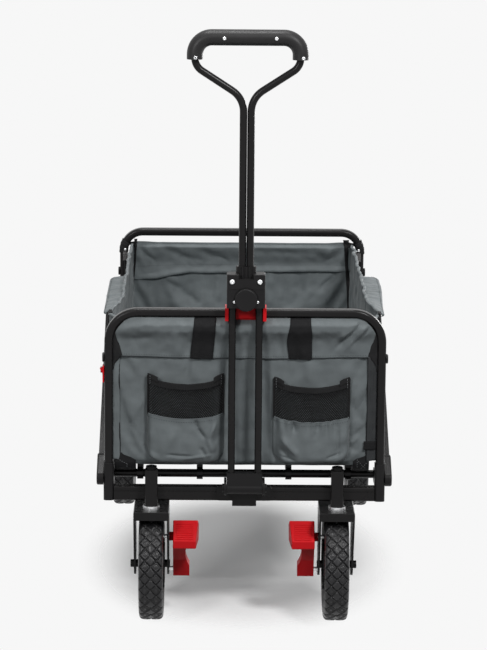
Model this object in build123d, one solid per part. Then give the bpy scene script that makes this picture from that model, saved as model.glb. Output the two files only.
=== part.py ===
from build123d import *
import os
from math import asin, atan2, cos, degrees, hypot, radians, sin, sqrt, tan

# A folding pull wagon: two upright hoops on wheels, a floor that folds up in the middle,
# side links that rise with it, a fabric basket and a telescopic pull handle.
# Millimetres, +Z up, the handle end faces -Y. "back" is the distance behind the front hoop's plane.

# Hoops and the bars that join their feet
HOOP_WIDTH = 460.0
HOOP_TOP = 528.5
HOOP_SPAN = 760.0
FRONT_CORNER_R = 55.0
REAR_CORNER_R = 43.0
TUBE_W = 14.0
TUBE_D = 20.0
TUBE_CORNER_R = 5.5
TUBE_WALL = 1.5
LEG_FOOT_Z = 241.5
CROSSBAR_BOTTOM = 207.0
CROSSBAR_H = 23.5
GROOVE_DROP = 6.5
GROOVE_W = 1.8
GROOVE_DEPTH = 0.8
CORNER_H = 63.0
CORNER_WALL = 1.3
SEAT_GAP = 0.2
BOLT_HEAD_LIP = 3.0

# Floor hinge bars and the floor halves
PIVOT_Z = 243.0
PIVOT_BACK = 32.0
PIVOT_BAR_R = 6.7
PIVOT_EYE_R = 10.0
EAR_WALL = 4.5
RUN_GAP = 0.3
RAIL_W = 10.0
RAIL_H = 20.0
RAIL_WALL = 1.5
RAIL_RISE = 1.0
RAIL_IN = 28.0
RAIL_SPACING = 98.5
FLOOR_HINGE_DROP = 5.0
FLOOR_PIN_R = 3.0
KNUCKLE_R = 5.5
FLOOR_SIDE_GAP = 3.5
BOARD_T = 8.0
BOARD_SETBACK = 16.0
STRUT_BACK = 40.0
STRUT_T = 3.0
MIDDLE_GAP = 2.0
FOLD_ANGLE = 78.0

# Side links, folded fabric flaps and the transport latch
LINK_GAP = 0.5
LINK_T = 9.0
LINK_H = 13.0
APEX_DROP = 65.5
APEX_LUG_R = 11.0
RIVET_R = 5.0
RIVET_T = 2.5
CAP_W = 24.0
CAP_LENGTH = 40.0
CAP_T = 11.0
CAP_EDGE_R = 2.5
PIVOT_BOLT_R = 4.0
LEG_BOLT_DROP = 82.5
LEG_CAP_R = 7.8
LEG_CAP_T = 3.4
LATCH_DROP = 21.0
LATCH_LENGTH = 20.0
LATCH_T = 2.6
LATCH_HEAD_W = 15.0
LATCH_CORNER_R = 2.0
LATCH_ARM_W = 11.2
LATCH_TOE = 18.8
LATCH_TOE_H = 5.0
LATCH_TAB_OUT = 4.0
LATCH_TAB_H = 9.5
LATCH_TAB_T = 1.9
LATCH_PIN_R = 3.0
LATCH_PIN_HEAD_R = 5.0

# Wheels
WHEEL_R = 93.0
TYRE_W = 41.0
TYRE_INNER_R = 66.0
TYRE_WIDEST_DROP = 15.0
SHOULDER_DROP = 5.0
SHOULDER_IN = 1.5
TREAD_IN = 6.0
TYRE_EDGE_R = 5.0
RIM_W = 34.0
RIM_WALL = 6.0
HUB_R = 17.0
HUB_HALF = 19.0
SPOKES = 6
SPOKE_W = 16.0
SPOKE_T = 12.0
SPOKE_EDGE_R = 3.0
BEARING_R = 13.0
BEARING_W = 8.0
AXLE_R = 5.0
AXLE_RUN = 0.05
AXLE_HEAD_R = 6.5
AXLE_HEAD_T = 6.0
AXLE_INNER_HEAD_T = 1.5
AXLE_NUT_T = 4.0
AXLE_COLLAR_R = 6.5
CASTER_IN = 77.5
CASTER_AXLE_BACK = 12.0
REAR_IN = 9.0
REAR_AXLE_BACK = 735.0

# Casters and their brakes
HOUSING_SIDE = 20.5
HOUSING_TOP = 262.7
FORK_W = 58.0
FORK_PLATE = 3.0
FORK_TOP_Z = 196.0
FORK_TOP_T = 4.0
FORK_REAR = 40.0
FORK_FRONT = -46.0
FORK_LIP = 10.0
FORK_EYE_R = 18.0
FORK_PIVOT_R = 9.5
KINGPIN_R = 6.0
KINGPIN_HEAD_R = 10.0
KINGPIN_NUT_R = 9.0
KINGPIN_END = 1.0
WASHER_R = 14.0
WASHER_T = 6.2
BRAKE_PIVOT_BACK = 20.0
BRAKE_PIVOT_DROP = 14.0
BRAKE_PIN_R = 3.5
BRAKE_PIN_HEAD_R = 5.0
STUB_R = 3.4
STUB_BOSS_R = 7.4
STUB_INSET = 6.0
STUB_RADIUS = 47.5
STUB_FORWARD = 2.0
BRAKE_ANGLE = 20.0
RING_R = 41.0
RING_WALL = 9.0
NOTCHES = 12
NOTCH_W = 16.0
NOTCH_DEPTH = 4.5
NOTCH_MIDDLE = 0.8
RING_T = 5.0
PEDAL_GAP = 6.6
PEDAL_W = 43.0
PEDAL_TAPER = 5.0
PEDAL_NECK_W = 27.0
PEDAL_WAIST = 6.5
PEDAL_WAIST_R = 47.0
PEDAL_WAIST_RISE = 35.0
PEDAL_RIBS = 8
PEDAL_RIB = 1.3
PEDAL_RIB_IN = 5.0
PEDAL_EDGE_R = 2.0
PEDAL_HEEL = (-32.0, 92.0)
PEDAL_TOE = (-62.0, 64.0)
PEDAL_LIP = 13.5
PEDAL_TREAD_BACK = ((-26.0, 56.5), (-22.0, 84.0))
PEDAL_ARM_FRONT = ((-48.0, 52.5), (-26.0, 22.0), (-15.0, -8.0), (-4.0, -12.0))
PEDAL_ARM_BACK = ((9.0, -7.0), (8.0, 10.0), (-14.0, 50.5), (-22.0, 84.0))

# Rear axle brackets
REAR_PLATE_T = 4.0
REAR_PLATE_IN = 34.0
REAR_FLANGE_W = 26.0
REAR_PLATE_FOOT_R = 16.0

# Pull handle
HANDLE_BACK = -36.0
HANDLE_Z = 236.0
HANDLE_LEAN = 2.3
HINGE_PIN_R = 4.0
LOWER_TUBE_R = 5.75
LOWER_SPACING = 43.5
YOKE_HALF_W = 29.0
YOKE_R = 10.0
YOKE_TOP = 26.0
YOKE_DEPTH = 18.0
EAR_T = 4.0
EAR_R = 12.0
HINGE_HEAD_R = 7.0
BRACKET_HALF_W = 45.0
BRACKET_T = 6.0
BRACKET_RISE = 2.0
BRACKET_CORNER_R = 4.0
COVER_DROP = 6.0
COVER_CLEAR = 2.0
BLOCK_CLEAR = 8.5
BLOCK_H = 55.0
BLOCK_W = 62.0
BLOCK_FRONT = 22.0
BLOCK_REAR = 14.0
BLOCK_CORNER_R = 5.0
BLOCK_EDGE_R = 2.0
SOCKET_DEPTH = 38.5
COLLAR_H = 11.0
COLLAR_WALL = 4.0
COLLAR_SHOW = 8.0
COLLAR_SHOW_W = 24.0
FLUTES = 4
FLUTE_R = 1.5
PART_LINE_DROP = 24.0
PART_LINE = 0.8
UPPER_TUBE_R = 6.0
UPPER_SPACING = 12.4
FOOT_CLEAR = 43.0
SPLIT_RISE = 50.5
GRIP_TUBE_LEG = 11.0
GRIP_HALF_W = 84.5
GRIP_AXIS_Z = 735.0
GRIP_LEG = 35.0
GRIP_H = 26.0
GRIP_D = 31.0
GRIP_CORNER_R = 27.0
SPLIT_R = 40.0
LEG_TURN_R = 25.0
TUBE_IN_GRIP = 22.0
TELESCOPE_TRAVEL = 240.0
BUTTON_RISE = 14.0
BUTTON_R = 18.5
BUTTON_T = 7.5
BUTTON_EDGE_R = 2.5
BUTTON_SINK = 0.5
BUTTON_TRAVEL = 5.0
BUTTON_STEM_R = 3.5
SPRING_R = 6.5
SPRING_WALL = 2.2
SPRING_CLEAR = 0.5
CLIP_W = 67.0
CLIP_H = 21.5
CLIP_DROP = 1.5
CLIP_BASE_T = 4.0
CLIP_EAR_REACH = 19.0
CLIP_TONGUE_T = 3.5

# Fabric
SHEET_T = 3.0
PANEL_SIDE_GAP = 3.5
PANEL_T = 3.5
PANEL_CORNER_R = 40.0
PANEL_SETBACK = 0.5
PANEL_LIFT = 0.6
FRONT_PANEL_DROP = 2.0
REAR_PANEL_DROP = 9.5
SIDE_IN = 12.5
SIDE_DROP = 16.5
FLAP_LENGTH = 250.0
FLAP_CLEAR = 9.0
FLAP_SKIRT = 14.0
FLAP_SIDE_GAP = 0.3
POCKET_W = 125.0
POCKET_LIFT = 5.4
POCKET_H = 136.5
POCKET_CORNER_R = 18.0
POCKET_T = 15.0
POCKET_X = (-97.0, 109.0)
STRAP_W = 37.0
STRAP_T = 1.5
STRAP_LENGTH = 66.5
STRAP_TURN = 12.0
STRAP_X = (-68.5, 89.5)

# Sizes that follow from those above
FRONT_Y = -(REAR_AXLE_BACK + CASTER_AXLE_BACK) / 2
REAR_Y = FRONT_Y + HOOP_SPAN
HOOP_HALF = HOOP_WIDTH / 2
LEG_X = HOOP_HALF - TUBE_W / 2
LEG_INNER = HOOP_HALF - TUBE_W
BAR_BOTTOM = HOOP_TOP - TUBE_W
CORNER_HALF_W = TUBE_W / 2 + CORNER_WALL + SEAT_GAP
CORNER_INNER = LEG_X - CORNER_HALF_W
CORNER_OUTER = LEG_X + CORNER_HALF_W
LINK_X = CORNER_OUTER + LINK_GAP
STEM_BACK = -(TUBE_D + HOUSING_SIDE) / 2
CASTER_X = HOOP_HALF - CASTER_IN
REAR_X = HOOP_HALF - REAR_IN
REAR_PLATE_X = REAR_X - REAR_PLATE_IN
CORNER_TOP = CROSSBAR_BOTTOM + CORNER_H
PANEL_W = 2 * (LEG_INNER - PANEL_SIDE_GAP)
SIDE_X = LEG_INNER - SIDE_IN
FLOOR_W = 2 * (SIDE_X - FLOOR_SIDE_GAP)
RAIL_X = (FLOOR_W / 2 - RAIL_IN - RAIL_SPACING, FLOOR_W / 2 - RAIL_IN)
FLAP_OUT = LINK_X + LINK_T + FLAP_SIDE_GAP + SHEET_T
FORK_INNER = FORK_W / 2 - FORK_PLATE
RAIL_BOTTOM = PIVOT_Z + RAIL_RISE
BOARD_BOTTOM = RAIL_BOTTOM + RAIL_H
MIDDLE_BACK = HOOP_SPAN / 2
APEX_Z = HOOP_TOP - APEX_DROP
LEG_BOLT_Z = HOOP_TOP - LEG_BOLT_DROP
LATCH_Z = LEG_BOLT_Z - LATCH_DROP
LINK_LENGTH = hypot(MIDDLE_BACK, APEX_Z - PIVOT_Z)
LINK_ANGLE = degrees(atan2(APEX_Z - PIVOT_Z, MIDDLE_BACK))
FOLD_TURN = radians(FOLD_ANGLE)
FOLDED_REACH = (MIDDLE_BACK - PIVOT_BACK) * cos(FOLD_TURN) + FLOOR_HINGE_DROP * sin(FOLD_TURN)
FOLDED_LEAN = asin((FOLDED_REACH + PIVOT_BACK) / LINK_LENGTH)
APEX_LAP = LINK_H / 2 / tan(FOLDED_LEAN) + LINK_H / 2
HOUSING_BOTTOM = FORK_TOP_Z + WASHER_T + RUN_GAP
PANEL_FACE_Y = FRONT_Y - PANEL_SETBACK - PANEL_T
PANEL_BOTTOM = CORNER_TOP + PANEL_LIFT
FRONT_PANEL_TOP = BAR_BOTTOM - FRONT_PANEL_DROP
REAR_PANEL_TOP = BAR_BOTTOM - REAR_PANEL_DROP
SIDE_TOP = BAR_BOTTOM - SIDE_DROP
FLAP_TOP = APEX_Z + APEX_LUG_R + FLAP_CLEAR + SHEET_T
POCKET_BOTTOM = PANEL_BOTTOM + POCKET_LIFT
POCKET_TOP = POCKET_BOTTOM + POCKET_H
STRAP_BOTTOM = BAR_BOTTOM - STRAP_LENGTH
BLOCK_BOTTOM = HOOP_TOP - HANDLE_Z + BLOCK_CLEAR
BUTTON_Z = BLOCK_BOTTOM + BUTTON_RISE
UPPER_FOOT = YOKE_TOP + FOOT_CLEAR + TELESCOPE_TRAVEL
GRIP_FOOT_Z = GRIP_AXIS_Z - GRIP_LEG
GRIP_LEG_Z = GRIP_FOOT_Z - GRIP_TUBE_LEG
SPLIT_Z = GRIP_LEG_Z - SPLIT_RISE


def back(distance):
    """Y of a point this far behind the front hoop's plane."""
    return FRONT_Y + distance


def block(x0, x1, y0, y1, z0, z1):
    """A box between two corners."""
    return Pos((x0 + x1) / 2, (y0 + y1) / 2, (z0 + z1) / 2) * Box(x1 - x0, y1 - y0, z1 - z0)


def rod_x(x0, x1, y, z, radius):
    """A cylinder along X."""
    return Pos((x0 + x1) / 2, y, z) * Rot(0, 90, 0) * Cylinder(radius, x1 - x0)


def rod_y(y0, y1, x, z, radius):
    """A cylinder along Y."""
    return Pos(x, (y0 + y1) / 2, z) * Rot(90, 0, 0) * Cylinder(radius, y1 - y0)


def rod_z(z0, z1, x, y, radius):
    """A cylinder along Z."""
    return Pos(x, y, (z0 + z1) / 2) * Cylinder(radius, z1 - z0)


def side_plate(outline, x0, x1):
    """A flat outline in Y and Z, given thickness along X."""
    return Pos(x0, 0, 0) * extrude(Plane.YZ * outline, x1 - x0)


def other_side(shape):
    """The mirror image across the middle plane."""
    return mirror(shape, about=Plane.YZ)


def both_sides(shape):
    """A shape on the right side together with its mirror image."""
    return Compound(children=[shape, other_side(shape)])


def turned_back(shape):
    """The rear frame's copy of a front piece, turned to face the other way."""
    return Pos(0, FRONT_Y + REAR_Y, 0) * mirror(shape, about=Plane.XZ)


def leaned(shape):
    """A handle piece, drawn upright from its hinge, put at its parked angle."""
    return Pos(0, back(HANDLE_BACK), HANDLE_Z) * Rot(-HANDLE_LEAN, 0, 0) * shape


def hoop(y, corner_r):
    """An upside-down U of flat-oval tube. The rear hoop's bends are tighter than the front one's."""
    axis_z = HOOP_TOP - TUBE_W / 2
    corners = [(-LEG_X, y, LEG_FOOT_Z), (-LEG_X, y, axis_z), (LEG_X, y, axis_z), (LEG_X, y, LEG_FOOT_Z)]
    path = FilletPolyline(*corners, radius=corner_r - TUBE_W / 2)
    outside = RectangleRounded(TUBE_W, TUBE_D, TUBE_CORNER_R)
    inside = RectangleRounded(TUBE_W - 2 * TUBE_WALL, TUBE_D - 2 * TUBE_WALL, TUBE_CORNER_R - TUBE_WALL)
    section = Plane(origin=corners[0], x_dir=(1, 0, 0), z_dir=(0, 0, 1)) * (outside - inside)
    return sweep(section, path=path)


def crossbar(y):
    """The square tube between the hoop's feet, with a groove rolled along its two faces."""
    half = CORNER_INNER
    z1 = CROSSBAR_BOTTOM + CROSSBAR_H
    face = TUBE_D / 2
    bar = block(-half, half, y - face, y + face, CROSSBAR_BOTTOM, z1)
    bar = fillet(bar.edges().filter_by(Axis.X), 2 * TUBE_WALL)
    groove_top = z1 - GROOVE_DROP
    for y0 in (y - face, y + face - GROOVE_DEPTH):
        bar -= block(-half, half, y0, y0 + GROOVE_DEPTH, groove_top - GROOVE_W, groove_top)
    core = block(
        -half, half, y - face + TUBE_WALL, y + face - TUBE_WALL, CROSSBAR_BOTTOM + TUBE_WALL, z1 - TUBE_WALL
    )
    return bar - core


def pivot_bar():
    """The round bar that the floor hinges on, its ends in the corner blocks."""
    half = CORNER_OUTER - EAR_WALL - SEAT_GAP
    y = back(PIVOT_BACK)
    bore = rod_x(-half, half, y, PIVOT_Z, PIVOT_BAR_R - TUBE_WALL)
    return rod_x(-half, half, y, PIVOT_Z, PIVOT_BAR_R) - bore


def corner_block():
    """The moulded foot on the right leg: a socket for the leg and an ear for the floor's bar."""
    depth = TUBE_D / 2 + CORNER_WALL + SEAT_GAP
    foot = block(CORNER_INNER, CORNER_OUTER, FRONT_Y - depth, FRONT_Y + depth, CROSSBAR_BOTTOM, CORNER_TOP)
    foot = fillet(foot.edges().filter_by(Axis.Z), TUBE_CORNER_R)
    foot = fillet(foot.faces().sort_by(Axis.Z)[-1].edges(), CORNER_WALL / 2)
    ear_r = PIVOT_BAR_R + EAR_WALL
    y_bar = back(PIVOT_BACK)
    ear = block(CORNER_INNER, CORNER_OUTER, FRONT_Y, y_bar, PIVOT_Z - ear_r, PIVOT_Z + ear_r)
    ear += rod_x(CORNER_INNER, CORNER_OUTER, y_bar, PIVOT_Z, ear_r)
    socket = RectangleRounded(TUBE_W + 2 * SEAT_GAP, TUBE_D + 2 * SEAT_GAP, TUBE_CORNER_R + SEAT_GAP)
    socket = Pos(LEG_X, FRONT_Y, LEG_FOOT_Z) * extrude(socket, HOOP_TOP)
    hole_r = PIVOT_BAR_R + SEAT_GAP
    bar_hole = rod_x(CORNER_INNER - EAR_WALL, CORNER_OUTER - EAR_WALL, y_bar, PIVOT_Z, hole_r)
    return foot + ear - socket - bar_hole


def pivot_bolt():
    """The stud and head on which a right-hand side link turns."""
    head_x = LINK_X + CAP_T - SEAT_GAP
    stud = rod_x(CORNER_OUTER, head_x, FRONT_Y, PIVOT_Z, PIVOT_BOLT_R)
    return stud + rod_x(head_x - PIVOT_BOLT_R, head_x, FRONT_Y, PIVOT_Z, PIVOT_BOLT_R + BOLT_HEAD_LIP)


def leg_cap():
    """The bolt through the right leg that holds the basket's corner, with its cap and washer."""
    cap = rod_x(HOOP_HALF, HOOP_HALF + LEG_CAP_T, FRONT_Y, LEG_BOLT_Z, LEG_CAP_R)
    return chamfer(cap.faces().sort_by(Axis.X)[-1].edges(), LEG_CAP_T / 4)


def leg_washer():
    """The washer on the inner face of the right leg."""
    return rod_x(LEG_INNER - SHEET_T, LEG_INNER, FRONT_Y, LEG_BOLT_Z, LEG_CAP_R - SHEET_T)


def leg_bolts():
    """The bolts, caps and washers of one hoop's two legs."""
    right = [pivot_bolt(), leg_cap(), leg_washer()]
    return right + [other_side(piece) for piece in right]


def latch_pin():
    """The pin on the left leg that the fold latch hangs from."""
    out = HOOP_HALF + LINK_GAP + LATCH_T + SEAT_GAP
    pin = rod_x(-out - SHEET_T, -HOOP_HALF, FRONT_Y, LATCH_Z, LATCH_PIN_R)
    return pin + rod_x(-out - SHEET_T, -out, FRONT_Y, LATCH_Z, LATCH_PIN_HEAD_R)


def fold_latch():
    """The red hook on the left leg that catches a side link when the wagon is folded, with a thumb tab."""
    head = Pos(FRONT_Y, LATCH_Z) * RectangleRounded(LATCH_HEAD_W, LATCH_HEAD_W, LATCH_CORNER_R)
    tip_z = LATCH_Z - LATCH_LENGTH
    arm = Pos(FRONT_Y, (LATCH_Z + tip_z) / 2) * Rectangle(LATCH_ARM_W, LATCH_LENGTH)
    toe = RectangleRounded(LATCH_TOE, LATCH_TOE_H, LATCH_CORNER_R)
    toe = Pos(FRONT_Y + (LATCH_TOE - LATCH_ARM_W) / 2, tip_z + LATCH_TOE_H / 2) * toe
    inner = -(HOOP_HALF + LINK_GAP)
    outer = inner - LATCH_T
    hook = side_plate(head + arm + toe, outer, inner)
    hook -= rod_x(outer, inner, FRONT_Y, LATCH_Z, LATCH_PIN_R + AXLE_RUN)
    top_z = LATCH_Z + LATCH_TAB_H / 2
    tip_x = outer - LATCH_TAB_OUT
    tab = Polygon(
        (inner, top_z), (tip_x, top_z), (tip_x, top_z - LATCH_TAB_T), (outer, top_z - LATCH_TAB_H),
        (inner, top_z - LATCH_TAB_H), align=None,
    )
    tab_y = FRONT_Y - LATCH_HEAD_W / 2
    return hook + Pos(0, tab_y + LATCH_TAB_T, 0) * extrude(Plane.XZ * tab, LATCH_TAB_T)


def caster_housing():
    """The square post on the crossbar that the right caster's kingpin turns in."""
    y = back(STEM_BACK)
    half = HOUSING_SIDE / 2
    post = block(CASTER_X - half, CASTER_X + half, y - half, y + half, HOUSING_BOTTOM, HOUSING_TOP)
    post = fillet(post.edges().filter_by(Axis.Z), 2 * TUBE_WALL)
    return post - rod_z(HOUSING_BOTTOM, HOUSING_TOP, CASTER_X, y, KINGPIN_R + AXLE_RUN)


def fork_outline():
    """Side view of a fork cheek: broad at the top, round at the axle and at the brake's pivot."""
    axle = Pos(back(CASTER_AXLE_BACK), WHEEL_R) * Circle(FORK_EYE_R)
    pivot_y, pivot_z = brake_pivot()
    pivot = Pos(pivot_y, pivot_z) * Circle(FORK_PIVOT_R)
    top_z = FORK_TOP_Z - FORK_TOP_T
    top = Pos(back((FORK_FRONT + FORK_REAR) / 2), top_z - FORK_LIP / 2) * Rectangle(
        FORK_REAR - FORK_FRONT, FORK_LIP
    )
    return make_hull(axle.edges() + pivot.edges() + top.edges())


def brake_pivot():
    """Where the brake pedal hinges, in Y and Z."""
    return back(CASTER_AXLE_BACK + BRAKE_PIVOT_BACK), WHEEL_R - BRAKE_PIVOT_DROP


def stub_rest():
    """Where the brake stub stands with the brake off, in Y and Z."""
    rise = sqrt(STUB_RADIUS**2 - STUB_FORWARD**2)
    return back(CASTER_AXLE_BACK) - STUB_FORWARD, WHEEL_R + rise


def stub_arm():
    """The stub's distance and angle from the pedal's hinge, brake off."""
    pivot_y, pivot_z = brake_pivot()
    y, z = stub_rest()
    return hypot(y - pivot_y, z - pivot_z), degrees(atan2(z - pivot_z, y - pivot_y))


def caster_fork():
    """The pressed fork of the right caster."""
    y0 = back(FORK_FRONT)
    y1 = back(FORK_REAR)
    half = FORK_W / 2
    z1 = FORK_TOP_Z
    z0 = FORK_TOP_Z - FORK_TOP_T
    fork = block(CASTER_X - half, CASTER_X + half, y0, y1, z0, z1)
    fork += block(CASTER_X - half, CASTER_X + half, y0, y0 + FORK_PLATE, z0 - FORK_LIP, z1)
    cheek = fork_outline()
    fork += side_plate(cheek, CASTER_X + FORK_INNER, CASTER_X + half)
    fork += side_plate(cheek, CASTER_X - half, CASTER_X - FORK_INNER)
    fork = fillet(fork.faces().sort_by(Axis.Z)[-1].edges(), FORK_PLATE / 2)
    reach, angle = stub_arm()
    arc = CenterArc(brake_pivot(), reach, angle, BRAKE_ANGLE)
    slot = SlotArc(arc, 2 * (STUB_R + 2 * RUN_GAP))
    fork -= side_plate(slot, CASTER_X - half, CASTER_X - FORK_INNER)
    pivot_y, pivot_z = brake_pivot()
    fork -= rod_x(CASTER_X - half, CASTER_X - FORK_INNER, pivot_y, pivot_z, BRAKE_PIN_R + SEAT_GAP / 2)
    fork -= rod_x(CASTER_X - half, CASTER_X + half, back(CASTER_AXLE_BACK), WHEEL_R, AXLE_R + SEAT_GAP / 2)
    return fork - rod_z(z0, z1, CASTER_X, back(STEM_BACK), KINGPIN_R + SEAT_GAP / 2)


def kingpin():
    """The right caster's kingpin, with its head under the fork and its nut on the housing."""
    y = back(STEM_BACK)
    z0 = FORK_TOP_Z - FORK_TOP_T
    nut_z = HOUSING_TOP + RUN_GAP
    pin = rod_z(z0 - SHEET_T, nut_z + WASHER_T, CASTER_X, y, KINGPIN_R)
    pin += rod_z(z0 - SHEET_T, z0, CASTER_X, y, KINGPIN_HEAD_R)
    return pin + rod_z(nut_z, nut_z + WASHER_T - KINGPIN_END, CASTER_X, y, KINGPIN_NUT_R)


def caster_washer():
    """The bright washers between the right fork and its housing."""
    y = back(STEM_BACK)
    ring = rod_z(FORK_TOP_Z, FORK_TOP_Z + WASHER_T, CASTER_X, y, WASHER_R)
    return ring - rod_z(FORK_TOP_Z, FORK_TOP_Z + WASHER_T, CASTER_X, y, KINGPIN_R + SEAT_GAP / 2)


def front_axle():
    """The right caster's axle bolt: its nut outside, a flat head towards the pedal, and two spacers."""
    y = back(CASTER_AXLE_BACK)
    outer = CASTER_X + FORK_W / 2
    inner = CASTER_X - FORK_W / 2
    axle = rod_x(inner - AXLE_INNER_HEAD_T, outer + AXLE_HEAD_T, y, WHEEL_R, AXLE_R)
    axle += rod_x(inner - AXLE_INNER_HEAD_T, inner, y, WHEEL_R, AXLE_HEAD_R)
    axle += rod_x(outer, outer + AXLE_HEAD_T, y, WHEEL_R, AXLE_HEAD_R)
    for side in (-1, 1):
        collar = sorted([CASTER_X + side * (HUB_HALF + RUN_GAP), CASTER_X + side * FORK_INNER])
        axle += rod_x(*collar, y, WHEEL_R, AXLE_COLLAR_R)
    return axle


def brake_pin():
    """The bright pin in the right fork that its brake pedal hinges on."""
    y, z = brake_pivot()
    end = CASTER_X - FORK_W / 2 - PEDAL_GAP - PEDAL_NECK_W + RUN_GAP
    pin = rod_x(end, CASTER_X - FORK_INNER, y, z, BRAKE_PIN_R)
    return pin + rod_x(end, end + SHEET_T, y, z, BRAKE_PIN_HEAD_R)


def brake_pedal():
    """The red foot pedal inside the right caster: a sloping ribbed tread on a waisted arm."""
    pivot_y, pivot_z = brake_pivot()
    outer = CASTER_X - FORK_W / 2 - PEDAL_GAP
    inner = outer - PEDAL_W
    lip = (PEDAL_TOE[0], PEDAL_TOE[1] - PEDAL_LIP)
    tread = Polygon(PEDAL_HEEL, PEDAL_TOE, lip, *PEDAL_TREAD_BACK, align=None)
    pedal = side_plate(Pos(pivot_y, pivot_z) * tread, inner, outer)
    heel_y = pivot_y + PEDAL_TREAD_BACK[1][0]
    toe_y = pivot_y + PEDAL_TOE[0]
    taper = Polygon((inner, heel_y), (inner, toe_y), (inner + PEDAL_TAPER, toe_y), align=None)
    pedal -= Pos(0, 0, pivot_z) * extrude(taper, PEDAL_HEEL[1])
    pedal = fillet(pedal.edges(), PEDAL_EDGE_R)
    arm = Polygon(*PEDAL_ARM_FRONT, *PEDAL_ARM_BACK, align=None)
    arm = side_plate(Pos(pivot_y, pivot_z) * arm, outer - PEDAL_NECK_W, outer)
    waist_x = outer - PEDAL_NECK_W + PEDAL_WAIST - PEDAL_WAIST_R
    waist_y = pivot_y + PEDAL_TOE[0]
    arm -= rod_y(waist_y, waist_y + PEDAL_WAIST_R * 2, waist_x, pivot_z + PEDAL_WAIST_RISE, PEDAL_WAIST_R)
    pedal += arm
    rib_ends = (inner + PEDAL_TAPER + PEDAL_RIB_IN, outer - PEDAL_RIB_IN)
    for i in range(PEDAL_RIBS):
        share = (i + 1) / (PEDAL_RIBS + 2)
        y = pivot_y + PEDAL_TOE[0] + share * (PEDAL_HEEL[0] - PEDAL_TOE[0])
        z = pivot_z + PEDAL_TOE[1] + share * (PEDAL_HEEL[1] - PEDAL_TOE[1])
        pedal += rod_x(*rib_ends, y, z, PEDAL_RIB)
    stub_y, stub_z = stub_rest()
    pedal += rod_x(outer, outer + PEDAL_GAP - RUN_GAP, stub_y, stub_z, STUB_BOSS_R)
    pedal += rod_x(outer - PEDAL_NECK_W + STUB_INSET, outer, stub_y, stub_z, STUB_BOSS_R)
    pedal -= rod_x(outer - PEDAL_NECK_W, outer + PEDAL_GAP, stub_y, stub_z, STUB_R + SEAT_GAP / 2)
    foot = outer - PEDAL_NECK_W
    seat = foot + SHEET_T + 2 * RUN_GAP
    pedal -= rod_x(foot, seat, pivot_y, pivot_z, BRAKE_PIN_HEAD_R + RUN_GAP)
    return pedal - rod_x(foot, outer, pivot_y, pivot_z, BRAKE_PIN_R + AXLE_RUN)


def brake_stub():
    """The steel stub that drops into the right wheel's notches."""
    y, z = stub_rest()
    outer = CASTER_X - FORK_W / 2 - PEDAL_GAP
    return rod_x(outer - PEDAL_NECK_W + STUB_INSET, CASTER_X - HUB_HALF, y, z, STUB_R)


def tyre():
    """A solid rubber tyre on the X axis."""
    half = TYRE_W / 2
    bead = RIM_W / 2
    widest = WHEEL_R - TYRE_WIDEST_DROP
    shoulder = WHEEL_R - SHOULDER_DROP
    outline = Polyline(
        (-bead, TYRE_INNER_R), (bead, TYRE_INNER_R), (half, widest), (half - SHOULDER_IN, shoulder),
        (half - TREAD_IN, WHEEL_R), (TREAD_IN - half, WHEEL_R), (SHOULDER_IN - half, shoulder),
        (-half, widest), close=True,
    )
    section = make_face(outline)
    outer_corners = section.vertices().sort_by(Axis.Y)[2:]
    return revolve(fillet(outer_corners, TYRE_EDGE_R), Axis.X)


def notch_phase():
    """The angle round the axle of a notch, at the middle of the stub's way through it."""
    reach, angle = stub_arm()
    pivot_y, pivot_z = brake_pivot()
    turn = radians(angle + BRAKE_ANGLE * NOTCH_MIDDLE)
    y = pivot_y + reach * cos(turn) - back(CASTER_AXLE_BACK)
    z = pivot_z + reach * sin(turn) - WHEEL_R
    return degrees(atan2(z, y))


def rim(braked):
    """A spoked wheel centre on the X axis. A braked one has the notched ring, on its -X side."""
    half = RIM_W / 2
    channel = TYRE_INNER_R - RIM_WALL
    wheel = rod_x(-half, half, 0, 0, TYRE_INNER_R) - rod_x(-half, half, 0, 0, channel)
    wheel += rod_x(-HUB_HALF, HUB_HALF, 0, 0, HUB_R)
    reach = (channel + TYRE_INNER_R) / 2
    for i in range(SPOKES):
        spoke = block(-SPOKE_T / 2, SPOKE_T / 2, -SPOKE_W / 2, SPOKE_W / 2, HUB_R / 2, reach)
        spoke = fillet(spoke.edges().filter_by(Axis.Z), SPOKE_EDGE_R)
        wheel += Rot(360 * i / SPOKES, 0, 0) * spoke
    if braked:
        face = -HUB_HALF - RING_T / 2
        ring = rod_x(face, -SPOKE_T / 2, 0, 0, RING_R) - rod_x(face, -SPOKE_T / 2, 0, 0, RING_R - RING_WALL)
        for i in range(NOTCHES):
            floor_r = RING_R - NOTCH_DEPTH
            notch = block(face, face + RING_T, floor_r, RING_R + RUN_GAP, -NOTCH_W / 2, NOTCH_W / 2)
            ring -= Rot(notch_phase() + 360 * i / NOTCHES, 0, 0) * notch
        wheel += ring
    wheel -= rod_x(-HUB_HALF, HUB_HALF, 0, 0, BEARING_R - SHEET_T)
    for side in (-1, 1):
        seat = sorted([side * HUB_HALF, side * (HUB_HALF - BEARING_W)])
        wheel -= rod_x(*seat, 0, 0, BEARING_R)
    return wheel


def bearings():
    """The two ball bearings in a hub, each drawn as one ring."""
    rings = []
    for side in (-1, 1):
        seat = sorted([side * HUB_HALF, side * (HUB_HALF - BEARING_W)])
        ring = rod_x(*seat, 0, 0, BEARING_R) - rod_x(*seat, 0, 0, AXLE_R + AXLE_RUN)
        rings.append(ring)
    return Compound(children=rings)


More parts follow.
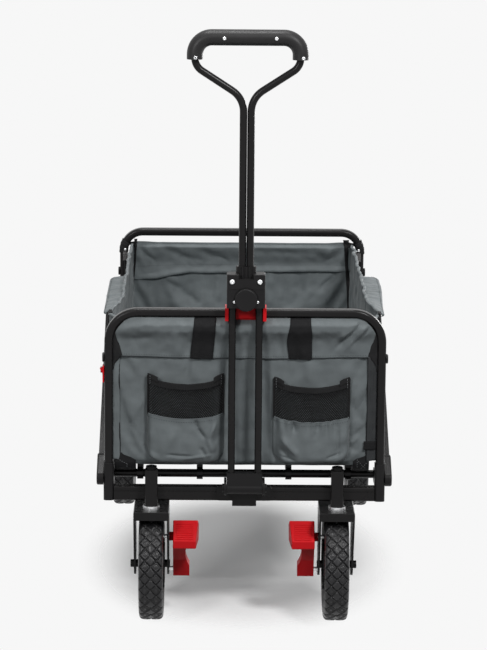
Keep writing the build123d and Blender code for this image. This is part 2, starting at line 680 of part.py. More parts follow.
def floor_frame(knuckle_x, knuckle_run):
    """The welded frame under the front half of the floor, hinged at both ends."""
    y0 = back(PIVOT_BACK)
    y1 = back(MIDDLE_BACK)
    end = y1 - MIDDLE_GAP / 2
    z1 = RAIL_BOTTOM + RAIL_H
    half = RAIL_X[-1] + RAIL_W / 2
    eye_hole = PIVOT_BAR_R + RUN_GAP
    frame = block(-half, half, end - RAIL_W, end, RAIL_BOTTOM, z1)
    hollow_y = end - RAIL_W + RAIL_WALL
    frame -= block(-half, half, hollow_y, end - RAIL_WALL, RAIL_BOTTOM + RAIL_WALL, z1 - RAIL_WALL)
    frame += block(-half, half, y0 + STRUT_BACK, y0 + STRUT_BACK + RAIL_W, z1 - STRUT_T, z1)
    pin_z = PIVOT_Z - FLOOR_HINGE_DROP
    for side in (-1, 1):
        for x in RAIL_X:
            left = side * x - RAIL_W / 2
            rail = block(left, left + RAIL_W, y0, end, RAIL_BOTTOM, z1)
            hollow_x = left + RAIL_WALL
            rail -= block(
                hollow_x, hollow_x + RAIL_W - 2 * RAIL_WALL, y0 + 2 * PIVOT_EYE_R, end - RAIL_W,
                RAIL_BOTTOM, z1 - RAIL_WALL,
            )
            frame += rail
            frame += rod_x(left, left + RAIL_W, y0, PIVOT_Z, PIVOT_EYE_R)
        centre = side * knuckle_x
        x0 = centre - KNUCKLE_R
        x1 = centre + KNUCKLE_R
        frame += rod_x(x0, x1, y1, pin_z, KNUCKLE_R)
        frame += block(x0, x1, end - RAIL_W, y1, pin_z + KNUCKLE_R / 2, RAIL_BOTTOM)
    frame -= rod_x(-half, half, y0, PIVOT_Z, eye_hole)
    return frame - rod_x(-half, half, y1, pin_z, FLOOR_PIN_R + knuckle_run)


def floor_board():
    """The padded board on the front half of the floor."""
    y0 = back(PIVOT_BACK + BOARD_SETBACK)
    y1 = back(MIDDLE_BACK) - MIDDLE_GAP / 2
    return block(-FLOOR_W / 2, FLOOR_W / 2, y0, y1, BOARD_BOTTOM, BOARD_BOTTOM + BOARD_T)


def floor_pins():
    """The two pins of the floor's middle hinge."""
    y = back(MIDDLE_BACK)
    z = PIVOT_Z - FLOOR_HINGE_DROP
    x0 = RAIL_X[0] - KNUCKLE_R
    x1 = RAIL_X[0] + 3 * KNUCKLE_R + RUN_GAP
    return both_sides(rod_x(x0, x1, y, z, FLOOR_PIN_R))


def side_link(lug_outside):
    """The right front side link: a flat bar with a capped foot and a half-thick lug at the apex."""
    half_t = (LINK_T - RUN_GAP) / 2
    bar_end = LINK_LENGTH - APEX_LAP
    bar = block(0, LINK_T, 0, bar_end, -LINK_H / 2, LINK_H / 2)
    cap_outline = Pos(CAP_LENGTH / 2, 0) * SlotOverall(CAP_LENGTH + CAP_W, CAP_W)
    cap = side_plate(cap_outline, 0, CAP_T)
    cap = fillet(cap.faces().sort_by(Axis.X)[-1].edges(), CAP_EDGE_R)
    lug_x0 = LINK_T - half_t if lug_outside else 0
    lug = rod_x(lug_x0, lug_x0 + half_t, LINK_LENGTH, 0, APEX_LUG_R)
    lug += block(lug_x0, lug_x0 + half_t, bar_end, LINK_LENGTH, -LINK_H / 2, LINK_H / 2)
    link = bar + cap + lug
    if not lug_outside:
        link += rod_x(-RIVET_T, 0, LINK_LENGTH, 0, RIVET_R)
    link -= rod_x(0, CAP_T, 0, 0, PIVOT_BOLT_R + AXLE_RUN)
    head_x = CAP_T - SEAT_GAP - PIVOT_BOLT_R
    link -= rod_x(head_x - RUN_GAP, CAP_T, 0, 0, PIVOT_BOLT_R + BOLT_HEAD_LIP + RUN_GAP)
    return Pos(LINK_X, FRONT_Y, PIVOT_Z) * Rot(LINK_ANGLE, 0, 0) * link


def axle_bracket():
    """The plate under the right end of the rear crossbar that carries the rear axle."""
    y_axle = back(REAR_AXLE_BACK)
    x1 = REAR_PLATE_X + REAR_PLATE_T
    foot = Pos(y_axle, WHEEL_R) * Circle(REAR_PLATE_FOOT_R)
    top_z = CROSSBAR_BOTTOM - REAR_PLATE_T / 2
    top = Pos(REAR_Y - REAR_PLATE_T, top_z) * Rectangle(TUBE_D + 2 * REAR_PLATE_T, REAR_PLATE_T)
    plate = side_plate(make_hull(foot.edges() + top.edges()), REAR_PLATE_X, x1)
    flange = block(
        x1 - REAR_FLANGE_W, x1, REAR_Y - TUBE_D / 2 - 2 * REAR_PLATE_T, REAR_Y + TUBE_D / 2,
        CROSSBAR_BOTTOM - REAR_PLATE_T, CROSSBAR_BOTTOM,
    )
    return plate + flange - rod_x(REAR_PLATE_X, x1, y_axle, WHEEL_R, AXLE_R + SEAT_GAP / 2)


def rear_axle():
    """The right rear stub axle, with its inner head, collar and outer nut."""
    y = back(REAR_AXLE_BACK)
    hub_in = REAR_X - HUB_HALF - RUN_GAP
    hub_out = REAR_X + HUB_HALF + RUN_GAP
    end = hub_out + AXLE_NUT_T
    axle = rod_x(REAR_PLATE_X - AXLE_HEAD_T, end, y, WHEEL_R, AXLE_R)
    axle += rod_x(REAR_PLATE_X - AXLE_HEAD_T, REAR_PLATE_X, y, WHEEL_R, AXLE_HEAD_R)
    axle += rod_x(REAR_PLATE_X + REAR_PLATE_T, hub_in, y, WHEEL_R, AXLE_COLLAR_R)
    return axle + rod_x(hub_out, end, y, WHEEL_R, AXLE_HEAD_R)


def handle_bracket():
    """The clevis on the front crossbar that carries the handle."""
    face = FRONT_Y - TUBE_D / 2
    front = face - BRACKET_T
    z0 = CROSSBAR_BOTTOM + BRACKET_RISE
    z1 = z0 + CROSSBAR_H
    y_pin = back(HANDLE_BACK)
    bracket = block(-BRACKET_HALF_W, BRACKET_HALF_W, front, face, z0, z1)
    bracket = fillet(bracket.edges().filter_by(Axis.Y), BRACKET_CORNER_R)
    cover_half = LOWER_SPACING / 2 - COVER_CLEAR
    cover_z = CROSSBAR_BOTTOM - COVER_DROP
    bracket += block(-cover_half, cover_half, front - EAR_T, face, cover_z, z1 - BRACKET_T)
    round_end = Pos(y_pin, HANDLE_Z) * Circle(EAR_R)
    root = Pos(front, HANDLE_Z) * Rectangle(EAR_T, 2 * EAR_R)
    ear = make_hull(round_end.edges() + root.edges())
    x0 = YOKE_HALF_W + RUN_GAP
    for side in (-1, 1):
        edges = sorted([side * x0, side * (x0 + EAR_T)])
        bracket += side_plate(ear, *edges)
    return bracket - rod_x(-x0 - EAR_T, x0 + EAR_T, y_pin, HANDLE_Z, HINGE_PIN_R + SEAT_GAP / 2)


def handle_hinge_pin():
    """The pin through the clevis and the handle's yoke."""
    half = YOKE_HALF_W + RUN_GAP + EAR_T
    y = back(HANDLE_BACK)
    pin = rod_x(-half, half, y, HANDLE_Z, HINGE_PIN_R)
    for side in (-1, 1):
        head = sorted([side * half, side * (half + SHEET_T)])
        pin += rod_x(*head, y, HANDLE_Z, HINGE_HEAD_R)
    return pin


def handle_clip():
    """The red clip on the front hoop that the parked handle snaps into."""
    half = CLIP_W / 2
    face = FRONT_Y - TUBE_D / 2
    front = face - CLIP_BASE_T
    z0 = BAR_BOTTOM - CLIP_DROP
    z1 = z0 + CLIP_H
    clip = block(-half, half, front, FRONT_Y + CLIP_BASE_T, z0, z1)
    saddle = RectangleRounded(TUBE_D + 2 * SEAT_GAP, TUBE_W + 2 * SEAT_GAP, TUBE_CORNER_R + SEAT_GAP)
    saddle = Pos(FRONT_Y, HOOP_TOP - TUBE_W / 2) * saddle
    clip -= side_plate(saddle, -half, half)
    tube_out = LOWER_SPACING / 2 + LOWER_TUBE_R + 2 * RUN_GAP
    tube_in = LOWER_SPACING / 2 - LOWER_TUBE_R - 2 * RUN_GAP
    clip += block(-tube_in, tube_in, front - CLIP_TONGUE_T, front, z0 + SHEET_T, z1 - SHEET_T)
    for side in (-1, 1):
        ear = sorted([side * tube_out, side * half])
        clip += block(*ear, face - CLIP_EAR_REACH, front, z0, z1)
    return clip


def handle_yoke():
    """The moulded foot of the handle, on the hinge pin."""
    x = LOWER_SPACING / 2
    yoke = rod_x(-YOKE_HALF_W, YOKE_HALF_W, 0, 0, YOKE_R)
    yoke += block(-YOKE_HALF_W, YOKE_HALF_W, -YOKE_DEPTH / 2, YOKE_DEPTH / 2, 0, YOKE_TOP)
    yoke -= rod_x(-YOKE_HALF_W, YOKE_HALF_W, 0, 0, HINGE_PIN_R + AXLE_RUN)
    for side in (-1, 1):
        yoke -= rod_z(YOKE_TOP / 2, YOKE_TOP, side * x, 0, LOWER_TUBE_R + SEAT_GAP / 2)
    return leaned(yoke)


def lower_tubes():
    """The handle's two fixed lower tubes."""
    z0 = YOKE_TOP / 2
    z1 = BLOCK_BOTTOM + SOCKET_DEPTH
    x = LOWER_SPACING / 2
    tube = rod_z(z0, z1, x, 0, LOWER_TUBE_R) - rod_z(z0, z1, x, 0, LOWER_TUBE_R - TUBE_WALL)
    return leaned(both_sides(tube))


def slider_block():
    """The moulded block on the lower tubes in which the upper tubes slide."""
    x = LOWER_SPACING / 2
    half = BLOCK_W / 2
    z1 = BLOCK_BOTTOM + BLOCK_H
    body = block(-half, half, -BLOCK_FRONT, BLOCK_REAR, BLOCK_BOTTOM, z1)
    body = fillet(body.edges().filter_by(Axis.Z), BLOCK_CORNER_R)
    body = fillet(body.faces().sort_by(Axis.Z)[-1].edges(), BLOCK_EDGE_R)
    channel_w = UPPER_SPACING + 2 * (UPPER_TUBE_R + RUN_GAP)
    channel_d = 2 * (UPPER_TUBE_R + RUN_GAP)
    collar_front = channel_d / 2 + COLLAR_WALL
    collar = SlotOverall(channel_w + 2 * COLLAR_WALL, 2 * collar_front)
    show_z = z1 - COLLAR_SHOW
    body -= block(-COLLAR_SHOW_W / 2, COLLAR_SHOW_W / 2, -BLOCK_FRONT, -collar_front, show_z, z1)
    line_z = z1 - PART_LINE_DROP
    body -= block(-half, half, -BLOCK_FRONT, PART_LINE - BLOCK_FRONT, line_z - PART_LINE, line_z)
    body += Pos(0, 0, z1) * extrude(collar, COLLAR_H)
    for i in range(FLUTES):
        flute_x = COLLAR_SHOW_W * ((i + 0.5) / FLUTES - 0.5)
        body -= rod_z(show_z, z1 + COLLAR_H, flute_x, -collar_front, FLUTE_R)
        body -= rod_z(z1, z1 + COLLAR_H, flute_x, collar_front, FLUTE_R)
    channel = SlotOverall(channel_w, channel_d)
    body -= Pos(0, 0, BLOCK_BOTTOM) * extrude(channel, BLOCK_H + COLLAR_H)
    socket_top = BLOCK_BOTTOM + SOCKET_DEPTH + SEAT_GAP
    for side in (-1, 1):
        body -= rod_z(BLOCK_BOTTOM, socket_top, side * x, 0, LOWER_TUBE_R + SEAT_GAP / 2)
    recess = button_back() + BUTTON_TRAVEL + RUN_GAP
    body -= rod_y(-BLOCK_FRONT, recess, 0, BUTTON_Z, BUTTON_R + RUN_GAP)
    body -= rod_y(recess, spring_seat(), 0, BUTTON_Z, SPRING_R + SPRING_CLEAR)
    return leaned(body)


def button_back():
    """Local Y of the button's rear face."""
    return -BLOCK_FRONT + BUTTON_SINK


def spring_seat():
    """Local Y of the floor of the spring's bore."""
    return -(UPPER_TUBE_R + RUN_GAP) - TUBE_WALL


def lock_button():
    """The round button that frees the upper tubes, with its stem."""
    y = button_back()
    disc = rod_y(y - BUTTON_T, y, 0, BUTTON_Z, BUTTON_R)
    disc = fillet(disc.faces().sort_by(Axis.Y)[0].edges(), BUTTON_EDGE_R)
    stem_end = spring_seat() - BUTTON_TRAVEL
    return leaned(disc + rod_y(y, stem_end, 0, BUTTON_Z, BUTTON_STEM_R))


def button_spring():
    """The return spring behind the button, drawn as a sleeve."""
    y0 = button_back()
    y1 = spring_seat()
    sleeve = rod_y(y0, y1, 0, BUTTON_Z, SPRING_R)
    return leaned(sleeve - rod_y(y0, y1, 0, BUTTON_Z, SPRING_R - SPRING_WALL))


def upper_tubes():
    """The handle's two sliding tubes, side by side, that part below the grip."""
    x = UPPER_SPACING / 2
    top = GRIP_FOOT_Z + TUBE_IN_GRIP
    path = FilletPolyline(
        (x, 0, UPPER_FOOT), (x, 0, SPLIT_Z), (GRIP_HALF_W, 0, GRIP_LEG_Z), (GRIP_HALF_W, 0, top),
        radius=[SPLIT_R, LEG_TURN_R],
    )
    start = Plane(origin=(x, 0, UPPER_FOOT), x_dir=(1, 0, 0), z_dir=(0, 0, 1))
    tube = sweep(start * (Circle(UPPER_TUBE_R) - Circle(UPPER_TUBE_R - TUBE_WALL)), path=path)
    return leaned(both_sides(tube))


def grip_half(front):
    """One half of the moulded grip, bored for the two tubes."""
    w = GRIP_HALF_W
    path = FilletPolyline(
        (-w, 0, GRIP_FOOT_Z), (-w, 0, GRIP_AXIS_Z), (w, 0, GRIP_AXIS_Z), (w, 0, GRIP_FOOT_Z),
        radius=GRIP_CORNER_R,
    )
    start = Plane(origin=(-w, 0, GRIP_FOOT_Z), x_dir=(1, 0, 0), z_dir=(0, 0, 1))
    grip = sweep(start * Ellipse(GRIP_H / 2, GRIP_D / 2), path=path)
    bore_top = GRIP_FOOT_Z + TUBE_IN_GRIP + SEAT_GAP
    for side in (-1, 1):
        grip -= rod_z(GRIP_FOOT_Z, bore_top, side * w, 0, UPPER_TUBE_R + SEAT_GAP / 2)
    reach = 2 * GRIP_HALF_W
    y0, y1 = (-GRIP_D, 0) if front else (0, GRIP_D)
    return leaned(grip & block(-reach, reach, y0, y1, GRIP_FOOT_Z - GRIP_H, GRIP_AXIS_Z + GRIP_H))


def end_panel(y0, top):
    """The fabric wall inside a hoop, its top corners round like the hoop's."""
    wall = block(-PANEL_W / 2, PANEL_W / 2, y0, y0 + PANEL_T, PANEL_BOTTOM, top)
    return fillet(wall.edges().filter_by(Axis.Y).sort_by(Axis.Z)[-2:], PANEL_CORNER_R)


def side_wall():
    """The right fabric wall between the hoops."""
    return block(SIDE_X, SIDE_X + SHEET_T, FRONT_Y, REAR_Y, PANEL_BOTTOM, SIDE_TOP)


def side_flap():
    """The right fabric flap that folds out over the side links' apex."""
    y0 = back(MIDDLE_BACK - FLAP_LENGTH / 2)
    y1 = y0 + FLAP_LENGTH
    shelf = block(SIDE_X + SHEET_T, FLAP_OUT, y0, y1, FLAP_TOP - SHEET_T, FLAP_TOP)
    skirt = block(FLAP_OUT - SHEET_T, FLAP_OUT, y0, y1, FLAP_TOP - FLAP_SKIRT, FLAP_TOP)
    return shelf + skirt


def pocket(x):
    """One pouch on the front panel, open at the top."""
    y1 = PANEL_FACE_Y - SEAT_GAP
    half = POCKET_W / 2
    bag = block(x - half, x + half, y1 - POCKET_T, y1, POCKET_BOTTOM, POCKET_TOP)
    low_corners = bag.edges().filter_by(Axis.Y).sort_by(Axis.Z)[:2]
    bag = fillet(low_corners, POCKET_CORNER_R)
    wall = STRAP_T
    hollow = block(
        x - half + wall, x + half - wall, y1 - POCKET_T + wall, y1 - wall, POCKET_BOTTOM + wall, POCKET_TOP
    )
    hollow = fillet(hollow.edges().filter_by(Axis.Y).sort_by(Axis.Z)[:2], POCKET_CORNER_R - wall)
    return bag - hollow


def strap(x):
    """A webbing strap sewn to the panel, its upper end turned in under the front hoop's bar."""
    x0 = x - STRAP_W / 2
    y1 = PANEL_FACE_Y - SEAT_GAP
    top = BAR_BOTTOM - SEAT_GAP
    tail = block(x0, x0 + STRAP_W, y1 - STRAP_T, y1, STRAP_BOTTOM, top)
    return tail + block(x0, x0 + STRAP_W, y1, y1 + STRAP_TURN, top - STRAP_T, top)


def wheel_at(shape, x, back_distance):
    """A wheel piece moved from the X axis to its axle."""
    return Pos(x, back(back_distance), WHEEL_R) * shape


def group(*shapes):
    """Separate solids kept in one node."""
    return Compound(children=list(shapes))


parts = {}

# Front frame
parts["front_hoop"] = hoop(FRONT_Y, FRONT_CORNER_R)
parts["front_crossbar"] = crossbar(FRONT_Y)
parts["front_pivot_bar"] = pivot_bar()
parts["front_corner_blocks"] = both_sides(corner_block())
parts["caster_housings"] = both_sides(caster_housing())
parts["handle_bracket"] = handle_bracket()
parts["handle_hinge_pin"] = handle_hinge_pin()
parts["handle_clip"] = handle_clip()
parts["front_bolts"] = group(*leg_bolts(), latch_pin())
parts["front_panel"] = end_panel(PANEL_FACE_Y, FRONT_PANEL_TOP)
parts["front_pockets"] = group(*[pocket(x) for x in POCKET_X])
parts["front_straps"] = group(*[strap(x) for x in STRAP_X])
parts["side_walls"] = both_sides(side_wall())
parts["side_flaps"] = both_sides(side_flap())
parts["fold_latch"] = fold_latch()

# Casters, brakes and wheels
right_caster = {
    "caster_fork": caster_fork(),
    "caster_fasteners": group(kingpin(), caster_washer(), front_axle(), brake_pin()),
    "brake_pedal": brake_pedal(),
    "brake_stub": brake_stub(),
    "front_tyre": wheel_at(tyre(), CASTER_X, CASTER_AXLE_BACK),
    "front_rim": wheel_at(rim(True), CASTER_X, CASTER_AXLE_BACK),
    "front_bearings": wheel_at(bearings(), CASTER_X, CASTER_AXLE_BACK),
    "rear_tyre": wheel_at(tyre(), REAR_X, REAR_AXLE_BACK),
    "rear_rim": wheel_at(rim(False), REAR_X, REAR_AXLE_BACK),
    "rear_bearings": wheel_at(bearings(), REAR_X, REAR_AXLE_BACK),
}
for name, shape in right_caster.items():
    parts[name + "_right"] = shape
    parts[name + "_left"] = other_side(shape)

# Floor
parts["floor_frame_front"] = floor_frame(RAIL_X[0], SEAT_GAP / 2)
parts["floor_frame_rear"] = turned_back(floor_frame(RAIL_X[0] + 2 * KNUCKLE_R + RUN_GAP, AXLE_RUN))
parts["floor_board_front"] = floor_board()
parts["floor_board_rear"] = turned_back(floor_board())
parts["floor_hinge_pins"] = floor_pins()

# Rear frame
parts["rear_hoop"] = hoop(REAR_Y, REAR_CORNER_R)
parts["rear_crossbar"] = crossbar(REAR_Y)
parts["rear_pivot_bar"] = turned_back(pivot_bar())
parts["rear_corner_blocks"] = turned_back(both_sides(corner_block()))
parts["rear_axle_brackets"] = both_sides(axle_bracket())
parts["rear_axles"] = both_sides(rear_axle())
parts["rear_bolts"] = turned_back(group(*leg_bolts()))
parts["rear_panel"] = end_panel(REAR_Y + PANEL_SETBACK, REAR_PANEL_TOP)

# Side links
parts["front_link_right"] = side_link(False)
parts["front_link_left"] = other_side(side_link(False))
parts["rear_link_right"] = turned_back(side_link(True))
parts["rear_link_left"] = turned_back(other_side(side_link(True)))

# Handle
parts["handle_yoke"] = handle_yoke()
parts["lower_tubes"] = lower_tubes()
parts["slider_block"] = slider_block()
parts["upper_tubes"] = upper_tubes()
parts["grip_front"] = grip_half(True)
parts["grip_rear"] = grip_half(False)
parts["lock_button"] = lock_button()
parts["button_spring"] = button_spring()

os.makedirs("parts", exist_ok=True)
for name, shape in parts.items():
    export_step(shape, f"parts/{name}.step")
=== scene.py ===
from math import cos, exp, hypot, pi, radians, sin, sqrt, tau

import bmesh
import bpy
from mathutils import Euler, Matrix, Vector, noise
from mathutils.bvhtree import BVHTree


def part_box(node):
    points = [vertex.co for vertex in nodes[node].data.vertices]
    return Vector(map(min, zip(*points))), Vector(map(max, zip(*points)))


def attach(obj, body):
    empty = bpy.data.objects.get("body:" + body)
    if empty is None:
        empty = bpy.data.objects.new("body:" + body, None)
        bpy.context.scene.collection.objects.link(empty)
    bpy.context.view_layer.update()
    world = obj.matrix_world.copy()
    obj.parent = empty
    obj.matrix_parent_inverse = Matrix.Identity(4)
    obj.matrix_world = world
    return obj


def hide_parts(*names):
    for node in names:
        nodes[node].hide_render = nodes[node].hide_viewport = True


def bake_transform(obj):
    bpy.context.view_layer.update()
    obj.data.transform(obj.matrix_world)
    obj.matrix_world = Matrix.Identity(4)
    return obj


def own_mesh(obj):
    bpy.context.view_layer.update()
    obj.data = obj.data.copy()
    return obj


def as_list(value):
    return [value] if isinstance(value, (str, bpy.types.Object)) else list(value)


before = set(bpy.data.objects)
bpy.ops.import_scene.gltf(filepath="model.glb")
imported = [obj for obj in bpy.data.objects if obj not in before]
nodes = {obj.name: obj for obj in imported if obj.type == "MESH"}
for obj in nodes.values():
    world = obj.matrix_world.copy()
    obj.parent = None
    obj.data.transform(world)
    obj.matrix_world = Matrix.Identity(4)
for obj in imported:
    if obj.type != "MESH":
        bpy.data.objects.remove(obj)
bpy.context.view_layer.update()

# Where the photograph was taken from
CAMERA_AT = (-0.048, -4.948, 1.4547)
CAMERA_DOWN = 11.777
CAMERA_PAN = -0.560
CAMERA_ROLL = 0.48
CAMERA_LENS = 158.8
SENSOR = 36.0

# The floor's glow to the camera, the oval in which it shows, and the world's light and backdrop
FLOOR_AT = (0, 0, -0.0006)
FLOOR_GLOW = 0.14
FLOOR_OVAL = (0.30, 0.48, 1.0)
FLOOR_FADE = 0.55
AMBIENT = 0.12
BACKDROP = 0.930

# Each lamp: its name, place, target, width in metres and watts
LAMPS = (
    ("key_right", (1.40, -2.5, 2.9), (0, -0.3, 0.4), 0.7, 74),
    ("key_left", (-1.65, -3.1, 2.1), (0, -0.3, 0.4), 0.7, 35),
    ("overhead", (-0.10, -0.05, 3.2), (0, -0.1, 0.3), 1.2, 42),
    ("back", (1.7, 2.6, 0.75), (0, 0.2, 0.35), 0.9, 30),
)

# Cloth and its details, in metres
CLOTH_T = 0.0009
WEBBING_T = 0.0014
STITCH_R = 0.00032
STITCH_LENGTH = 0.0028
STITCH_GAP = 0.0013
STITCH_PARTS = 8
STITCH_LIFT = 0.0004
WEBBING_LIFT = WEBBING_T / 2 + 0.0003
CORD_R = 0.0009
MESH_PITCH = 0.0034
MESH_STRAND = 0.0015
ELASTIC_W = 0.0105

# How the cloth settles
SIM_FRAMES = 26
CLOTH_SETTINGS = {
    "quality": 6,
    "mass": 0.15,
    "tension_stiffness": 8.0,
    "compression_stiffness": 8.0,
    "shear_stiffness": 4.0,
    "bending_stiffness": 0.4,
    "tension_damping": 8,
    "air_damping": 2,
    "vertex_group_mass": "held",
}

# The basket's landmarks, read from the photograph
BAND_HEM_Z = 0.449
BAND_WIDE_Z = 0.489
BAND_ROLL_Z = 0.4985
BAND_HEM_HALF = 0.2022
BAND_WIDE_HALF = 0.2125
BAND_TURN = 0.9
REAR_SEAM_Z = 0.459
MESH_SEAM_Z = 0.350

# The distance between seeds in the noise, and half the share of its length over which a fold is deep
SEED_STEP = 7.3
FOLD_REACH = 0.45

SIDES = (("left", -1), ("right", 1))
FORWARD = (0, -1, 0)


# Small helpers

def side_name(side):
    return "right" if side > 0 else "left"


def lerp(a, b, share):
    """The value this share of the way from a to b."""
    return a + (b - a) * share


def clamp(share):
    return max(0.0, min(1.0, share))


def ease(share):
    """A share that starts and ends gently."""
    share = clamp(share)
    return share * share * (3 - 2 * share)


def swell(share):
    """A share that rises steeply and rounds off like the edge of a cushion."""
    return sqrt(1 - (1 - clamp(share)) ** 2)


def corner_drop(share):
    """How far a round corner has fallen away, as a share of its radius."""
    return 1 - sqrt(max(0.0, 1 - share**2))


def bump(value, middle, width):
    """A bell that is 1 at its middle."""
    return exp(-(((value - middle) / width) ** 2))


def inside(share, steepness, end=1.0):
    """1 well inside a sheet, falling to 0 at its two edges."""
    return min(1.0, steepness * min(share, end - share))


def waves(x, y, *layers):
    """Uneven cloth: a sum of smooth noises, each a height, a feature size and a seed."""
    return sum(h * noise.noise(Vector((x / size, y / size, seed * SEED_STEP))) for h, size, seed in layers)


def fold_table(*rows):
    """Folds from rows in thousandths: two ends, a width and a depth."""
    return [[value / 1000 for value in row] for row in rows]


def folds_at(folds, x, z):
    """How far the soft folds of a table lift the cloth at a point."""
    lift = 0.0
    for ax, az, bx, bz, width, depth in folds:
        dx = bx - ax
        dz = bz - az
        length = hypot(dx, dz)
        along = ((x - ax) * dx + (z - az) * dz) / length**2
        aside = ((x - ax) * dz - (z - az) * dx) / length
        lift += depth * exp(-(((along - 0.5) / FOLD_REACH) ** 4)) * bump(aside, 0, width)
    return lift


def link_object(name, data):
    """A new object in the scene."""
    obj = bpy.data.objects.new(name, data)
    bpy.context.scene.collection.objects.link(obj)
    return obj


def mesh_object(name, verts, faces, material, uvs=None):
    """A smooth object from points and faces. uvs gives each point its place on the flat cloth, in metres."""
    mesh = bpy.data.meshes.new(name)
    mesh.from_pydata([tuple(v) for v in verts], [], faces)
    if uvs:
        layer = mesh.uv_layers.new(name="flat")
        for loop in mesh.loops:
            layer.data[loop.index].uv = uvs[loop.vertex_index]
    for polygon in mesh.polygons:
        polygon.use_smooth = True
    mesh.materials.append(material)
    mesh.update()
    return link_object(name, mesh)


def grid_faces(columns, rows, closed=False, ring=False):
    """Faces of a grid of points stored row by row. A closed grid joins its last column to its first,
    and a ring joins its last row to its first."""
    wide = columns if closed else columns + 1
    faces = []
    for j in range(rows + 1 if ring else rows):
        low = j * wide
        high = (j + 1) % (rows + 1) * wide
        for i in range(columns):
            k = (i + 1) % wide
            faces.append((low + i, low + k, high + k, high + i))
    return faces


def grid_points(cells, size, place):
    """A grid's points, row by row, and their places on the flat cloth. place takes shares across and up."""
    shares = [(i / cells[0], j / cells[1]) for j in range(cells[1] + 1) for i in range(cells[0] + 1)]
    return [place(s, t) for s, t in shares], [(s * size[0], t * size[1]) for s, t in shares]


def thicken(obj, thickness):
    """Gives a sheet its thickness."""
    solid = obj.modifiers.new("thickness", "SOLIDIFY")
    solid.thickness = thickness
    solid.offset = 0.0
    return obj


def cloth_grid(name, cells, size, place, material, thickness=CLOTH_T):
    """A sheet of cells. place(s, t) gives the point at shares s across and t up the sheet."""
    verts, uvs = grid_points(cells, size, place)
    piece = mesh_object(name, verts, grid_faces(*cells), material, uvs)
    return thicken(piece, thickness) if thickness else piece


def line_on(place, start, end, count):
    """Points along a straight line on a sheet, from one pair of shares to another."""
    shares = [i / count for i in range(count + 1)]
    return [Vector(place(lerp(start[0], end[0], k), lerp(start[1], end[1], k))) for k in shares]


def apply_modifiers(obj):
    """Bakes the object's modifiers into its mesh."""
    graph = bpy.context.evaluated_depsgraph_get()
    graph.update()
    mesh = bpy.data.meshes.new_from_object(obj.evaluated_get(graph))
    old = obj.data
    obj.modifiers.clear()
    obj.data = mesh
    bpy.data.meshes.remove(old)
    return obj


def weld(obj, distance, turned=False):
    """Joins points that coincide. A turned piece also gets its ends closed and its faces turned out."""
    bm = bmesh.new()
    bm.from_mesh(obj.data)
    bmesh.ops.remove_doubles(bm, verts=bm.verts, dist=distance)
    if turned:
        bmesh.ops.holes_fill(bm, edges=bm.edges)
        bmesh.ops.recalc_face_normals(bm, faces=bm.faces)
    bm.to_mesh(obj.data)
    bm.free()


def tube_along(name, points, radius, material, sides=8, closed=False, squash=1.0):
    """A round or flattened tube through the points, with capped ends unless it closes on itself."""
    verts = []
    count = len(points)
    points = [Vector(p) for p in points]
    normal = None
    for i, point in enumerate(points):
        ahead = points[(i + 1) % count] if closed or i + 1 < count else point
        behind = points[i - 1] if closed or i > 0 else point
        tangent = (ahead - behind).normalized()
        if normal is None:
            normal = tangent.orthogonal().normalized()
        normal = (normal - tangent * normal.dot(tangent)).normalized()
        side = tangent.cross(normal)
        for k in range(sides):
            angle = tau * k / sides
            verts.append(point + radius * (normal * cos(angle) + side * sin(angle) * squash))
    faces = grid_faces(sides, count - 1, closed=True, ring=closed)
    if not closed:
        faces.append(tuple(reversed(range(sides))))
        faces.append(tuple(range((count - 1) * sides, count * sides)))
    return mesh_object(name, verts, faces, material)


def spaced_points(points, step):
    """Points at even steps along a line through the given points."""
    points = [Vector(p) for p in points]
    out = [points[0].copy()]
    left = step
    for a, b in zip(points, points[1:]):
        run = (b - a).length
        at = left
        while at <= run:
            out.append(a.lerp(b, at / run))
            at += step
        left = at - run
    return out


# A stitch is four rings of four points: where along it, how wide and how high
STITCH_RINGS = ((0, 0.4, -0.6), (0.25, 1, 0.6), (0.75, 1, 0.6), (1, 0.4, -0.6))
STITCH_FACES = grid_faces(4, 3, closed=True) + [(3, 2, 1, 0), (12, 13, 14, 15)]


def stitches(name, points, material, outward=FORWARD, lift=STITCH_LIFT):
    """A row of sewn stitches along a line, each a small raised thread."""
    verts = []
    faces = []
    pitch = STITCH_LENGTH + STITCH_GAP
    line = spaced_points(points, pitch / STITCH_PARTS)
    outward = Vector(outward).normalized()
    share = int(STITCH_PARTS * STITCH_LENGTH / pitch)
    for start in range(0, len(line) - share, STITCH_PARTS):
        a = line[start]
        b = line[start + share]
        side = (b - a).normalized().cross(outward).normalized()
        faces += [tuple(len(verts) + k for k in face) for face in STITCH_FACES]
        for at, grow, up in STITCH_RINGS:
            centre = a.lerp(b, at) + outward * (lift + up * STITCH_R)
            for dx, dz in ((-1, 0), (0, 1), (1, 0), (0, -1)):
                verts.append(centre + grow * STITCH_R * (dx * side + dz * outward))
    return mesh_object(name, verts, faces, material)


def webbing_stitches(name, rows, material, outward=FORWARD):
    """Stitch rows that stand on webbing."""
    return [
        stitches(f"{name}_stitches_{i}", row, material, outward, WEBBING_LIFT) for i, row in enumerate(rows)
    ]


def ride_all(pieces, body):
    for piece in pieces:
        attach(piece, body)


# Cloth simulation

settling = []


def settled_cloth(name, cells, size, place, slack, gravity):
    """Grey cloth, pinned along its edges and listed to settle: its slack falls into folds."""
    sheet = cloth_grid(name, cells, size, place, CLOTH, 0)
    wide = cells[0] + 1
    points = range(len(sheet.data.vertices))
    edge = [k for k in points if k % wide in (0, cells[0]) or k // wide in (0, cells[1])]
    sheet.vertex_groups.new(name="held").add(edge, 1.0, "REPLACE")
    settling.append((sheet, slack, gravity))
    return sheet


